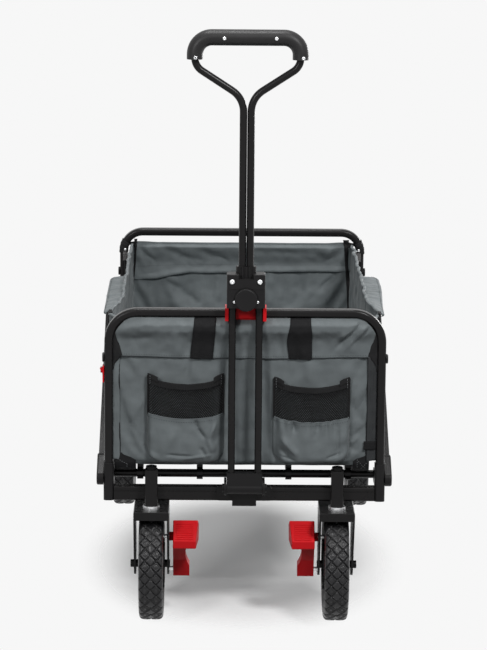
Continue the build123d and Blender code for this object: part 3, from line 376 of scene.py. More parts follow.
def run_settling():
    """Settles every listed sheet at once, then keeps the result as its mesh."""
    scene = bpy.context.scene
    for obj, slack, gravity in settling:
        cloth = obj.modifiers.new("cloth", "CLOTH")
        for key, value in CLOTH_SETTINGS.items():
            setattr(cloth.settings, key, value)
        cloth.settings.shrink_min = -slack
        cloth.settings.shrink_max = -slack
        cloth.settings.effector_weights.gravity = gravity
        cloth.collision_settings.use_collision = False
        cloth.point_cache.frame_start = 1
        cloth.point_cache.frame_end = SIM_FRAMES
    for number in range(1, SIM_FRAMES + 1):
        scene.frame_set(number)
    graph = bpy.context.evaluated_depsgraph_get()
    for obj, _, _ in settling:
        places = [v.co.copy() for v in obj.evaluated_get(graph).data.vertices]
        obj.modifiers.remove(obj.modifiers["cloth"])
        for vertex, place in zip(obj.data.vertices, places):
            vertex.co = place
    scene.frame_set(1)


def cap_moves(obj, keep):
    """Limits where each point of a settled sheet may lie. keep changes a point in place."""
    for vertex in obj.data.vertices:
        keep(vertex.co)
    obj.data.update()


def tree_of(obj):
    """A search tree of an object's faces."""
    mesh = obj.data
    return BVHTree.FromPolygons([v.co for v in mesh.vertices], [p.vertices for p in mesh.polygons])


def first_hit(tree, start, direction):
    """Where a ray first meets a piece, or None."""
    return tree.ray_cast(Vector(start), Vector(direction))[0]


# Materials. Most of a noise node's values lie between these two.

NOISE_LOW = 0.3
NOISE_HIGH = 0.7


class Nodes:
    """A node tree, with short calls for what is used here."""

    def __init__(self, tree):
        self.tree = tree

    def fill(self, node, **values):
        """Sets or links a node's inputs, with _ for spaces in their names."""
        for key, value in values.items():
            self.put(node.inputs[key.replace("_", " ")], value)
        return node

    def put(self, socket, value):
        if isinstance(value, bpy.types.NodeSocket):
            self.tree.links.new(value, socket)
        else:
            socket.default_value = value

    def node(self, kind, **values):
        return self.fill(self.tree.nodes.new(kind), **values)

    def math(self, operation, *values, kind="ShaderNodeMath", out="Value"):
        """The result of a Math or Vector Math node. The values are sockets or numbers."""
        node = self.node(kind)
        node.operation = operation
        for socket, value in zip(node.inputs, values):
            self.put(socket, value)
        return node.outputs[out]

    def mix_to(self, output, share, first, second):
        """Sends a mix of two shaders to the tree's output."""
        mix = self.node("ShaderNodeMixShader", Fac=share)
        self.put(mix.inputs[1], first.outputs[0])
        self.put(mix.inputs[2], second.outputs[0])
        self.fill(self.tree.nodes[output], Surface=mix.outputs[0])


class Shader(Nodes):
    """A material with one Principled shader."""

    def __init__(self, name, color, roughness, specular=0.5, metallic=0.0):
        self.material = bpy.data.materials.new(name)
        self.material.use_nodes = True
        super().__init__(self.material.node_tree)
        self.bsdf = self.tree.nodes["Principled BSDF"]
        self.color = color
        self.normal = None
        self.set(Base_Color=(*color, 1), Roughness=roughness, Metallic=metallic, Specular_IOR_Level=specular)

    def set(self, **values):
        self.fill(self.bsdf, **values)

    def place(self, kind="Object"):
        """The texture coordinates: Object is metres on the part, UV is metres on the flat cloth."""
        return self.node("ShaderNodeTexCoord").outputs[kind]

    def axes(self, kind="Object"):
        return self.node("ShaderNodeSeparateXYZ", Vector=self.place(kind)).outputs

    def noise(self, scale, detail=3.0):
        return self.node("ShaderNodeTexNoise", Vector=self.place(), Scale=scale, Detail=detail).outputs["Fac"]

    def ramp(self, value, *stops):
        """Colours the surface by a value: two stops, each a position and a colour."""
        node = self.node("ShaderNodeValToRGB", Fac=value)
        for element, (position, color) in zip(node.color_ramp.elements, stops):
            element.position = position
            element.color = (*color, 1)
        self.set(Base_Color=node.outputs["Color"])
        return node.color_ramp

    def mottle(self, amount, scale):
        """Lightens and darkens the colour in soft patches."""
        dark = [c * (1 - amount) for c in self.color]
        light = [c * (1 + amount) for c in self.color]
        self.ramp(self.noise(scale), (NOISE_LOW, dark), (NOISE_HIGH, light))

    def rough_patches(self, low, high, scale):
        """Varies the roughness in patches."""
        spread = self.node("ShaderNodeMapRange", Value=self.noise(scale), To_Min=low, To_Max=high)
        self.fill(spread, From_Min=NOISE_LOW, From_Max=NOISE_HIGH)
        self.set(Roughness=spread.outputs["Result"])

    def relief(self, height, strength, distance):
        """Adds a bump on top of those already there."""
        node = self.node("ShaderNodeBump", Strength=strength, Distance=distance, Height=height)
        if self.normal:
            self.fill(node, Normal=self.normal)
        self.normal = node.outputs["Normal"]
        self.set(Normal=self.normal)

    def wave(self, value, pitch):
        return self.math("SINE", self.math("MULTIPLY", value, tau / pitch))


def surface(name, color, roughness, specular, mottle, grain, patches=None, metallic=0.0):
    """A finish with a mottle of amount and scale, a grain of noise scale, detail, strength and depth,
    and patches of gloss between two roughnesses at a scale."""
    shader = Shader(name, color, roughness, specular, metallic)
    shader.mottle(*mottle)
    if patches:
        shader.rough_patches(*patches)
    shader.relief(shader.noise(*grain[:2]), *grain[2:])
    return shader.material


def moulding(name, color, roughness, specular=0.15):
    patches = (roughness - 0.05, roughness + 0.06, 60)
    return surface(name, color, roughness, specular, (0.10, 14), (2200, 2, 0.3, 0.0001), patches)


def thread(name, color):
    return surface(name, color, 0.7, 0.2, (0.1, 400), (3000, 2, 0.3, 0.0001))


def caster_steel():
    """Zinc washers and pins, with a blackened axle at the wheel's height and a black cap on the kingpin."""
    shader = Shader("caster_zinc", ZINC, 0.30, metallic=1.0)
    away = shader.math("ABSOLUTE", shader.math("SUBTRACT", shader.axes()["Z"], AXLE_Z))
    ramp = shader.ramp(shader.math("MULTIPLY", away, 2.0), (0.0, BLACKENED), (0.015, ZINC))
    ramp.interpolation = "CONSTANT"
    ramp.elements.new(0.30).color = (*BLACKENED, 1)
    shader.rough_patches(0.24, 0.36, 200)
    shader.relief(shader.noise(*ZINC_GRAIN[:2]), *ZINC_GRAIN[2:])
    return shader.material


def oxford_cloth(name, color, sheen=0.12):
    """Coated polyester: a fine plain weave, slightly heathered, with soft handling creases."""
    shader = Shader(name, color, 0.62, 0.18)
    shader.mottle(0.07, 55)
    flat = shader.axes("UV")
    weave = shader.math("MULTIPLY", shader.wave(flat["X"], 0.0009), shader.wave(flat["Y"], 0.0009))
    shader.relief(shader.noise(30, 1), 0.50, 0.0130)
    shader.relief(shader.noise(90, 4), 0.24, 0.0012)
    shader.relief(weave, 0.25, 0.00012)
    shader.set(Sheen_Weight=sheen, Sheen_Roughness=0.45)
    return shader.material


def black_webbing():
    """Webbing with slanted ribs."""
    shader = Shader("black_webbing", (0.0100, 0.0100, 0.0108), 0.70, 0.15)
    shader.mottle(0.12, 120)
    flat = shader.axes("UV")
    shader.relief(shader.wave(shader.math("ADD", flat["X"], flat["Y"]), 0.0016), 0.5, 0.0003)
    return shader.material


ZINC = (0.80, 0.81, 0.82)
ZINC_GRAIN = (2500, 2, 0.15, 0.00006)
BLACKENED = (0.012, 0.012, 0.012)
AXLE_Z = 0.093
COAT = surface(
    "powder_coat", (0.0124, 0.0117, 0.0120), 0.26, 0.14, (0.12, 9), (1300, 2, 0.25, 0.00012), (0.22, 0.30, 35)
)
PLASTIC = moulding("black_moulding", (0.0118, 0.0113, 0.0118), 0.42)
GRIP = moulding("grip_moulding", (0.0110, 0.0105, 0.0110), 0.45, 0.3)
RIM = moulding("rim_moulding", (0.0095, 0.0095, 0.0100), 0.48)
BOLTS = moulding("black_bolts", (0.010, 0.010, 0.010), 0.38)
RED = surface(
    "red_moulding", (0.66, 0.0118, 0.0170), 0.38, 0.12, (0.05, 20), (1600, 2, 0.2, 0.00008), (0.33, 0.43, 80)
)
STEEL = surface("bright_zinc", ZINC, 0.28, 0.5, (0.06, 60), ZINC_GRAIN, (0.22, 0.36, 200), 1.0)
CASTER_STEEL = caster_steel()
RUBBER = surface(
    "tyre_rubber", (0.0125, 0.0122, 0.0135), 0.36, 0.38, (0.15, 30), (1800, 3, 0.35, 0.00015),
    (0.30, 0.44, 90),
)
CLOTH = oxford_cloth("grey_oxford", (0.150, 0.169, 0.175))
BINDING = oxford_cloth("black_binding", (0.0080, 0.0080, 0.0085), 0.02)
ADJUSTER = moulding("grey_adjuster", (0.16, 0.155, 0.155), 0.45)
# Painted shade: a dark grey cloth for the shadowed recess at the right front corner, not a real tape.
RECESS_SHADE_CLOTH = oxford_cloth("painted_recess_shade", (0.034, 0.036, 0.038), 0.04)
WEBBING = black_webbing()
NET = thread("black_net", (0.009, 0.009, 0.0095))
GREY_THREAD = thread("grey_thread", (0.055, 0.062, 0.065))
PALE_THREAD = thread("pale_thread", (0.27, 0.28, 0.29))
BLACK_THREAD = thread("black_thread", (0.012, 0.012, 0.013))

SLOT_MATERIALS = {
    "black_steel": COAT,
    "bright_steel": STEEL,
    "black_bolts": BOLTS,
    "black_plastic": PLASTIC,
    "grip_plastic": GRIP,
    "red_plastic": RED,
    "grey_fabric": CLOTH,
    "black_webbing": WEBBING,
    "tyre_rubber": RUBBER,
    "rim_plastic": RIM,
}
for obj in nodes.values():
    for index, material in enumerate(obj.data.materials):
        obj.data.materials[index] = SLOT_MATERIALS[material.name.split(".")[0]]
for name, _ in SIDES:
    nodes[f"caster_fasteners_{name}"].data.materials[0] = CASTER_STEEL
nodes["handle_hinge_pin"].data.materials[0] = BOLTS


# The front of the basket

PANEL_LOW, PANEL_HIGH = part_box("front_panel")
PANEL_Y = (PANEL_LOW.y + PANEL_HIGH.y) / 2
PANEL_HALF = PANEL_HIGH.x
PANEL_CORNER = 0.040
PANEL_BOTTOM = PANEL_LOW.z - 0.0044
PANEL_CELLS = (110, 64)
FRONT_BULGE = 0.0090
EDGE_STAND = 0.0002
PANEL_STAND = 0.0046
PANEL_TURN = 0.016
FOOT_TURN = 0.012
FOOT_RISE = 0.0095
FOOT_FLAT = 0.168
FOOT_RUN = 0.045
FRONT_SIZE = (2 * PANEL_HALF, PANEL_HIGH.z - PANEL_BOTTOM)

HOOP_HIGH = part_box("front_hoop")[1]
HOOP_TUBE = 0.014
HOOP_INNER_HALF = HOOP_HIGH.x - HOOP_TUBE
BAR_BOTTOM = HOOP_HIGH.z - HOOP_TUBE
BAND_TOP = BAR_BOTTOM - 0.0008

# Folds in millimetres: x and z of two ends, a width and a depth
FRONT_FOLDS = fold_table(
    (-165, 383, -191, 332, 6, -4.8),
    (-160.5, 372, -163.5, 282, 5.5, 5),
    (-197, 350, -181, 280, 8, 4),
    (-128, 448, -117, 420, 8, -3),
    (-31, 445, -34, 278, 7.5, 4.4),
    (-13, 447, -11, 278, 7, -3.4),
    (5, 448, 10, 278, 7, 4.6),
    (34, 442, 37, 278, 7.5, 4.4),
    (164, 386, 204, 326, 4.2, 5.2),
    (174, 392, 212, 342, 6.5, -3.6),
    (162, 308, 188, 288, 3.6, 4.2),
    (166, 303, 192, 317, 4.2, -3.2),
    (150, 440, 60, 425, 11, 2.6),
    (-150, 436, -60, 425, 11, 2.6),
)
BAND_FOLDS = fold_table(
    (194, 513, 146, 462, 3.4, 4.2),
    (203, 508, 160, 460, 3.4, -3.4),
    (187, 514, 150, 478, 3.4, -3.6),
    (206, 506, 190, 486, 3, 4),
    (-196, 478, -150, 482, 6, 2.4),
    (-118, 488, -106, 452, 8, -2.8),
    (-92, 480, -96, 452, 7, 2.2),
    (-50, 490, -46, 452, 6, 2.2),
    (22, 490, 28, 452, 7, 2),
    (55, 490, 58, 452, 6, 2.6),
    (125, 486, 118, 452, 9, 2.6),
)


def half_width(z, top, half):
    """Half the width of an end panel at this height: its top corners are round."""
    rise = z - (top - PANEL_CORNER)
    if rise <= 0:
        return half
    return half - PANEL_CORNER + sqrt(max(PANEL_CORNER**2 - rise**2, 0))


def panel_foot(x):
    """Height of the front panel's lower edge: it rises towards the corners."""
    return PANEL_BOTTOM + FOOT_RISE * ease((abs(x) - FOOT_FLAT) / FOOT_RUN) + waves(x, 0, (0.0006, 0.03, 8))


def front_point(s, t):
    foot = panel_foot((2 * s - 1) * PANEL_HALF)
    z = lerp(foot, PANEL_HIGH.z, t)
    x = (2 * s - 1) * half_width(z, PANEL_HIGH.z - 0.0005, PANEL_HALF)
    turn = ease(min(s, 1 - s) * 2 * PANEL_HALF / PANEL_TURN) * ease((z - foot) / FOOT_TURN)
    soft = folds_at(FRONT_FOLDS, x, z) - waves(x, z, (0.0014, 0.05, 1), (0.0007, 0.018, 2))
    return x, PANEL_HIGH.y - lerp(EDGE_STAND, PANEL_STAND, turn) + inside(s, 14) * inside(t, 9) * soft, z


def keep_front(point):
    point.y = max(PANEL_LOW.y - FRONT_BULGE, min(PANEL_HIGH.y + 0.0003, point.y))
    point.z = max(PANEL_BOTTOM, point.z)


# The back

REAR_LOW, REAR_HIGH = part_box("rear_panel")
REAR_Y = (REAR_LOW.y + REAR_HIGH.y) / 2
REAR_BASE = REAR_Y + 0.0024
REAR_BULGE = 0.0110
REAR_BULGE_LOW = 0.0034
REAR_FREE_Z = 0.33
REAR_FREE_RUN = 0.08
REAR_BEND = (0.187, 0.4855)
REAR_BEND_IN = 0.036
REAR_TOP = REAR_HIGH.z - 0.0046
REAR_EDGE = REAR_TOP - 0.001
REAR_ROUND = REAR_HIGH.z + 0.012
REAR_SIZE = (2 * PANEL_HALF, REAR_HIGH.z - REAR_LOW.z)
REAR_FOLDS = fold_table(
    (-148, 440, -112, 420, 7, -5.5),
    (-142, 431, -72, 380, 10, 8.5),
    (-188, 435, -165, 360, 22, -5),
    (150, 446, 76, 372, 17, 8.5),
    (192, 452, 144, 410, 6, 6.5),
    (200, 440, 154, 384, 11, -6),
    (58, 445, 48, 375, 16, -5.5),
    (122, 430, 70, 402, 6.5, 4),
    (160, 392, 178, 368, 8, 5),
    (-62, 436, -26, 372, 18, 5),
    (-10, 440, 4, 330, 14, -4),
    (-120, 350, 20, 315, 16, -4.5),
    (40, 345, 180, 320, 15, 4.5),
)
REAR_BAND_FOLDS = fold_table(
    (-199, 499, -166, 455, 6.5, 6.6),
    (-198, 480, -184, 452, 8, -3.6),
    (-150, 495, -83, 459, 8, 5.2),
    (-82, 490, -24, 463, 8, 5),
    (-110, 470, -70, 458, 6, -2.8),
    (10, 488, 140, 482, 8, 3.6),
    (196, 497, 164, 463, 8, 6.4),
    (176, 498, 158, 476, 6, -2.6),
)


def rear_point(s, t):
    z = lerp(REAR_LOW.z, REAR_EDGE, t)
    x = (2 * s - 1) * half_width(z, REAR_ROUND, PANEL_HALF)
    middle = inside(s, 9) * inside(t, 7)
    soft = folds_at(REAR_FOLDS, x, z) + waves(x, z, (0.0018, 0.06, 2), (0.0010, 0.022, 4))
    return x, lerp(REAR_Y, REAR_BASE, middle) + middle * soft, z


def keep_rear(point):
    free = ease((point.z - REAR_FREE_Z) / REAR_FREE_RUN)
    inner = REAR_LOW.y - lerp(REAR_BULGE_LOW, REAR_BULGE, free)
    point.y = max(inner, min(REAR_HIGH.y + REAR_BULGE, point.y))
    point.z = max(REAR_LOW.z, point.z)


# The sides

SIDE_LOW, SIDE_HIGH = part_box("side_walls")
SIDE_X = SIDE_HIGH.x - 0.0015
SIDE_HEIGHT = SIDE_HIGH.z - SIDE_LOW.z
SIDE_DENT = 0.0035
SIDE_BULGE = 0.0205
FLARE_LEAST = 0.0022
FLARE = 0.0150
FLARE_FROM = -0.12
FLARE_RUN = 0.14
FLARE_BACK = 0.75
FLARE_BACK_FROM = -0.262
FLARE_BACK_RUN = 0.05
LEAN_FROM = 0.425
LEAN_RUN = 0.073


def flare(y):
    """How far the side walls' top edge leans out along the basket: most behind the front hoop's corner."""
    rise = ease((FLARE_FROM - y) / FLARE_RUN)
    back = FLARE_BACK * ease((FLARE_BACK_FROM - y) / FLARE_BACK_RUN)
    return FLARE_LEAST + FLARE * rise * (1 - back)


def lean_at(z):
    """The share of the flare that a side wall has at this height."""
    return ease((z - LEAN_FROM) / LEAN_RUN)


def side_wall(side, seed):
    length = SIDE_HIGH.y - SIDE_LOW.y - 0.004

    def place(s, t):
        z = lerp(SIDE_LOW.z, SIDE_HIGH.z, t)
        z += waves(s * length, 0, (0.0010, 0.05, seed + 2)) * ease(t * 4 - 3)
        y = SIDE_LOW.y + 0.002 + s * length + 0.012 * lean_at(z) * (1 - s) ** 8
        near_end = bump(s, 0.0, 0.16) + bump(s, 1.0, 0.16)
        out = 0.0022 + waves(y, z * 0.22, (0.0042, 0.030, seed)) * (0.6 + 1.4 * near_end)
        out += waves(y, z * 0.5, (0.0018, 0.016, seed + 1))
        return side * (SIDE_X + flare(y) * lean_at(z) + inside(s, 14) * inside(t, 5, 1.15) * out), y, z

    name = f"side_wall_cloth_{side_name(side)}"
    return settled_cloth(name, (170, 50), (length, SIDE_HEIGHT), place, 0.008, 0.6)


def keep_side(side):
    def keep(point):
        point.x = side * max(SIDE_X - SIDE_DENT, min(SIDE_X + SIDE_BULGE, side * point.x))
        point.z = max(SIDE_LOW.z, point.z)
    return keep


# The four large sheets settle first, because the rest lies on them

front = settled_cloth("front_panel_cloth", PANEL_CELLS, FRONT_SIZE, front_point, 0.006, 0.4)
rear = settled_cloth("rear_panel_cloth", PANEL_CELLS, REAR_SIZE, rear_point, 0.006, 0.5)
walls = {"left": side_wall(-1, 3), "right": side_wall(1, 5)}
if settling:
    run_settling()
cap_moves(front, keep_front)
cap_moves(rear, keep_rear)
for name, side in SIDES:
    cap_moves(walls[name], keep_side(side))
FRONT_TREE = tree_of(front)
REAR_TREE = tree_of(rear)


def front_face(x, z):
    """Y of the front panel's cloth at a point, on its outer side."""
    hit = first_hit(FRONT_TREE, (x, -1.0, z), (0, 1, 0))
    return (hit.y if hit else PANEL_Y) - CLOTH_T / 2


def rear_inner_face(x, z):
    """Y of the rear panel's cloth at a point, on its inner side."""
    hit = first_hit(REAR_TREE, (x, 0.0, z), (0, 1, 0))
    return (hit.y if hit else REAR_Y) - CLOTH_T / 2


# What is sewn to the front panel

BAND_STAND = 0.0018
BAND_ROLL = 0.0108
BAND_ROLL_BELOW = 0.0165
BAND_ROLL_ABOVE = 0.0118
BAND_SAG = 0.0022
BAND_SEWN = 0.045
GUSSET_TAIL = 0.022


def band_half(z):
    """Half the width of the front band at a height: it narrows towards its hem."""
    share = (z - BAND_HEM_Z) / (BAND_WIDE_Z - BAND_HEM_Z)
    slanted = lerp(BAND_HEM_HALF, BAND_WIDE_HALF, min(1.0, share))
    return min(slanted, half_width(z, BAR_BOTTOM, HOOP_INNER_HALF - 0.0015))


def band_point(x_share, t):
    """A point of the front band: t runs from its sagging hem over its roll and back under the bar."""
    rise = min(1.0, t / BAND_TURN)
    half = band_half(lerp(BAND_HEM_Z, BAND_TOP, rise))
    x = (2 * x_share - 1) * half
    z = lerp(BAND_HEM_Z - BAND_SAG * cos(x * 9) + waves(x, 0, (0.0008, 0.06, 9)), BAND_TOP, rise)
    edge = min(x_share, 1 - x_share) * 2 * half
    full = lerp(0.45, 1.0, ease(edge / 0.02))
    width = BAND_ROLL_BELOW if z < BAND_ROLL_Z else BAND_ROLL_ABOVE
    stand = BAND_STAND + BAND_ROLL * full * bump(z, BAND_ROLL_Z, width)
    pucker = waves(x, 0, (0.0006, 0.007, 11)) * bump(rise, 0.12, 0.12)
    y = min(front_face(x, min(z, PANEL_HIGH.z - 0.004)), PANEL_Y - 0.001) - stand + pucker
    soft = folds_at(BAND_FOLDS, x, z) - waves(x, z, (0.0010, 0.035, 12), (0.0006, 0.014, 13))
    y += min(1.0, edge / 0.012) * soft
    back = max(0.0, (t - BAND_TURN) / (1 - BAND_TURN))
    return x, lerp(max(y, PANEL_LOW.y - 0.0130), PANEL_HIGH.y + 0.0005, back), z


def band_y(x, z):
    """Y of the front band's cloth at a point."""
    rise = (z - BAND_HEM_Z) / (BAND_TOP - BAND_HEM_Z)
    return band_point(0.5 + x / (2 * band_half(z)), BAND_TURN * clamp(rise))[1]


def front_band():
    size = (2 * PANEL_HALF, BAND_TOP - BAND_HEM_Z + 0.012)
    band = cloth_grid("front_band", (170, 40), size, band_point, CLOTH)
    line = line_on(band_point, (0, BAND_SEWN), (1, BAND_SEWN), 120)
    sewing = stitches("front_band_stitches", line, GREY_THREAD)
    hem = tube_along("front_band_hem", line_on(band_point, (0, 0), (1, 0), 120), CORD_R, GREY_THREAD, 6)
    return band, sewing, hem, size


def gusset(side):
    """The black elastic corner between the band's slanted end and the hoop's leg."""
    def place(s, t):
        z = lerp(BAND_HEM_Z - GUSSET_TAIL, PANEL_HIGH.z - 0.006, t)
        outer = half_width(z, BAR_BOTTOM, HOOP_INNER_HALF) + 0.0006
        if z > BAND_HEM_Z:
            inner = band_half(z) - 0.004
        else:
            share = ease(1 - (BAND_HEM_Z - z) / GUSSET_TAIL) ** 2
            inner = lerp(outer - 0.002, BAND_HEM_HALF + 0.0015, share)
        x = lerp(inner, outer, s)
        return side * x, PANEL_Y - 0.0022 - 0.0016 * sin(pi * s) + waves(x, z, (0.0009, 0.010, 14)), z

    return cloth_grid(f"gusset_{side_name(side)}", (8, 30), (0.016, 0.08), place, BINDING)


def corner_flange(side):
    """The strip between the front panel's seam and the hoop's leg: grey cloth at the left; at the right a
    dark cloth that paints the shade of the recess where the panel turns back to the side wall.
    """
    inner = 0.2005 if side > 0 else PANEL_HALF - 0.0075
    outer = HOOP_INNER_HALF + 0.0004

    def place(s, t):
        x = lerp(inner, outer, s)
        z = lerp(panel_foot(x), BAND_HEM_Z + 0.002, t)
        if side > 0:
            y = lerp(PANEL_LOW.y - 0.0012, PANEL_LOW.y + 0.0014, s) - 0.0007 * sin(3 * pi * s) ** 2
        else:
            y = PANEL_HIGH.y - 0.0032 * (0.4 + 0.6 * sin(pi * (0.15 + 0.7 * s)))
        return side * x, y - waves(s, z, (0.0007, 0.02, 17)), z

    size = (outer - inner, BAND_HEM_Z - PANEL_BOTTOM)
    name = f"corner_flange_{side_name(side)}"
    return cloth_grid(name, (12, 60), size, place, RECESS_SHADE_CLOTH if side > 0 else CLOTH), size


def piping(side):
    """The corded seam down the front corner of the basket."""
    x = 0.2003 if side > 0 else 0.2052
    points = []
    for i in range(60):
        z = lerp(panel_foot(x) + 0.002, BAND_HEM_Z, i / 59)
        wander = side * (x + waves(z, 0, (0.0016, 0.045, 15)))
        points.append((wander, front_face(wander, z) - 0.0004, z))
    return tube_along(f"corner_piping_{side_name(side)}", points, CORD_R, BLACK_THREAD, 6)


# The corner webbing's way in y and z from the panel's foot to the pivot bar, and the ends of its stitch rows
WEBBING_STEP = 0.001
WEBBING_ROUTE = spaced_points(
    [
        (0, -0.3752, 0.2860), (0, -0.3765, 0.2700), (0, -0.3728, 0.2610), (0, -0.3520, 0.2512),
        (0, -0.3415, 0.2512),
    ],
    WEBBING_STEP,
)
WEBBING_ROWS = {
    "left": (((0.95, 0.14), (0.40, 0.33), 16), ((0.40, 0.33), (0.42, 0.60), 12)),
    "right": (
        ((0.32, 0.20), (0.95, 0.55), 16), ((0.95, 0.20), (0.32, 0.55), 16), ((0.26, 0.16), (0.26, 0.62), 12),
    ),
}


def corner_webbing(side):
    """The black webbing that ties a lower corner of the front panel down to the pivot bar."""
    name = f"corner_webbing_{side_name(side)}"
    inner = 0.1788
    outer = 0.2052 if side > 0 else 0.2140

    def place(s, t):
        point = WEBBING_ROUTE[round(t * (len(WEBBING_ROUTE) - 1))]
        x = lerp(inner, outer, s)
        return side * x, point.y - 0.0006 * sin(pi * s), point.z + waves(x, point.y, (0.0004, 0.012, 18))

    size = (outer - inner, WEBBING_STEP * len(WEBBING_ROUTE))
    piece = cloth_grid(name, (14, 40), size, place, WEBBING, WEBBING_T)
    rows = [line_on(place, *row) for row in WEBBING_ROWS[side_name(side)]]
    return piece, webbing_stitches(name, rows, PALE_THREAD, (0, -1, 0.3)), size


CORNER_TAB_X = 0.1955
CORNER_TAB_LOW = 0.2945
CORNER_TAB_HIGH = 0.3085


def corner_tab_point(s, t):
    """The small black tab across the right corner's dark strip of painted shade."""
    x = lerp(CORNER_TAB_X, HOOP_INNER_HALF + 0.0003, s)
    z = lerp(CORNER_TAB_LOW, CORNER_TAB_HIGH, t)
    return x, PANEL_LOW.y - 0.0030 + 0.0022 * s * s, z + waves(x, z, (0.0008, 0.008, 19))


STRAP_LOW, STRAP_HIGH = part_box("front_straps")
STRAP_W = 0.037
STRAP_FOOT = BAND_HEM_Z - 0.003
STRAP_TOP = BAR_BOTTOM - 0.0009
STRAP_SIZE = (STRAP_W, BAR_BOTTOM - BAND_HEM_Z + 0.014)

# A strap's stitched box with its cross: corners in shares across and up
BOX_LEFT, BOX_RIGHT, BOX_LOW, BOX_HIGH = 0.08, 0.92, 0.035, 0.10
STRAP_ROWS = (
    ((BOX_LEFT, BOX_LOW), (BOX_RIGHT, BOX_LOW), 20),
    ((BOX_LEFT, BOX_HIGH), (BOX_RIGHT, BOX_HIGH), 20),
    ((BOX_LEFT, BOX_LOW), (BOX_LEFT, BOX_HIGH), 8),
    ((BOX_RIGHT, BOX_LOW), (BOX_RIGHT, BOX_HIGH), 8),
    ((BOX_LEFT, BOX_LOW), (BOX_RIGHT, BOX_HIGH), 20),
    ((BOX_RIGHT, BOX_LOW), (BOX_LEFT, BOX_HIGH), 20),
)


def strap(index):
    """A webbing strap sewn over the front band and fixed under the hoop's bar."""
    middle = (STRAP_LOW.x + STRAP_W / 2, STRAP_HIGH.x - STRAP_W / 2)[index]
    foot_shift, head_shift = ((-0.0030, 0.0031), (0.0006, 0.0002))[index]
    waist, bow = ((0.04, 0.0), (0.10, 0.0036))[index]

    def place(s, t):
        run = STRAP_FOOT + t * STRAP_SIZE[1]
        z = min(run, STRAP_TOP)
        back = max(0.0, run - STRAP_TOP)
        share = (z - STRAP_FOOT) / (BAR_BOTTOM - STRAP_FOOT)
        pinch = 1 - waist * ease((share - 0.55) / 0.4)
        x = middle + lerp(foot_shift, head_shift, share) + (s - 0.5) * STRAP_W * pinch
        x -= bow * bump(share, 0.42, 0.30) * (1 - s)
        y = band_y(x, min(z, BAND_TOP)) - 0.0015 - 0.0010 * sin(pi * s) * bump(share, 0.5, 0.3)
        return x, y + back, z + (0.0004 * s if back > 0 else 0.0)

    name = f"front_strap_{SIDES[index][0]}"
    piece = cloth_grid(name, (14, 46), STRAP_SIZE, place, WEBBING, WEBBING_T)
    return piece, webbing_stitches(name, [line_on(place, *row) for row in STRAP_ROWS], BLACK_THREAD)


# Pockets

POCKETS_LOW, POCKETS_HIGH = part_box("front_pockets")
POCKET_W = 0.125
POCKET_DEPTH = PANEL_LOW.y - POCKETS_LOW.y + 0.001
POCKET_BOTTOM = POCKETS_LOW.z - 0.0040
POCKET_CORNER = 0.024
POCKET_ROUND = 0.38
NET_HEIGHT = 0.075
HEM_Z = 0.4175
HEM_SAG = 0.0128
SEAM_SAG = 0.0085
FOLD_GAIN = 1.6
PLEATS = 7.5
GATHERS = 34
POCKET_TAB = 0.13
POCKET_DROPS = (0.0, -0.0049)
POCKET_SLOPE = 0.15
POCKET_STEEP = 0.07
POCKET_RISE = 0.014
MOUTH_SHARE = 0.50
MOUTH_LOW = 0.288
MOUTH_RUN = 0.110
PLEAT_HEIGHT = 0.0022
GATHER_HEIGHT = 0.0005
ROW_POINTS = 80

# The pockets' folds, with x in thousandths of the pocket's width
POCKET_FOLDS = (
    fold_table(
        (635, 345, 655, 332, 2.2, 3),
        (650, 334, 760, 314, 2.8, 3.4),
        (930, 348, 800, 314, 4.5, -3),
        (800, 316, 870, 292, 4.5, -2.2),
        (960, 330, 880, 305, 6, 3.4),
        (180, 284, 400, 335, 9, -1.8),
        (700, 300, 770, 284, 3, 2.6),
        (250, 287, 620, 285, 2.2, 2.2),
        (480, 281, 850, 288, 2, -1.8),
    ),
    fold_table(
        (100, 318, 330, 286, 4.2, -3.4),
        (80, 300, 260, 283, 6, 3.6),
        (265, 346, 275, 326, 2.8, 3),
        (100, 286, 300, 279, 2.4, 2.4),
        (860, 345, 850, 285, 2.4, 2),
        (560, 340, 540, 315, 4, 1.4),
        (700, 282, 900, 291, 2.4, 2),
    ),
)


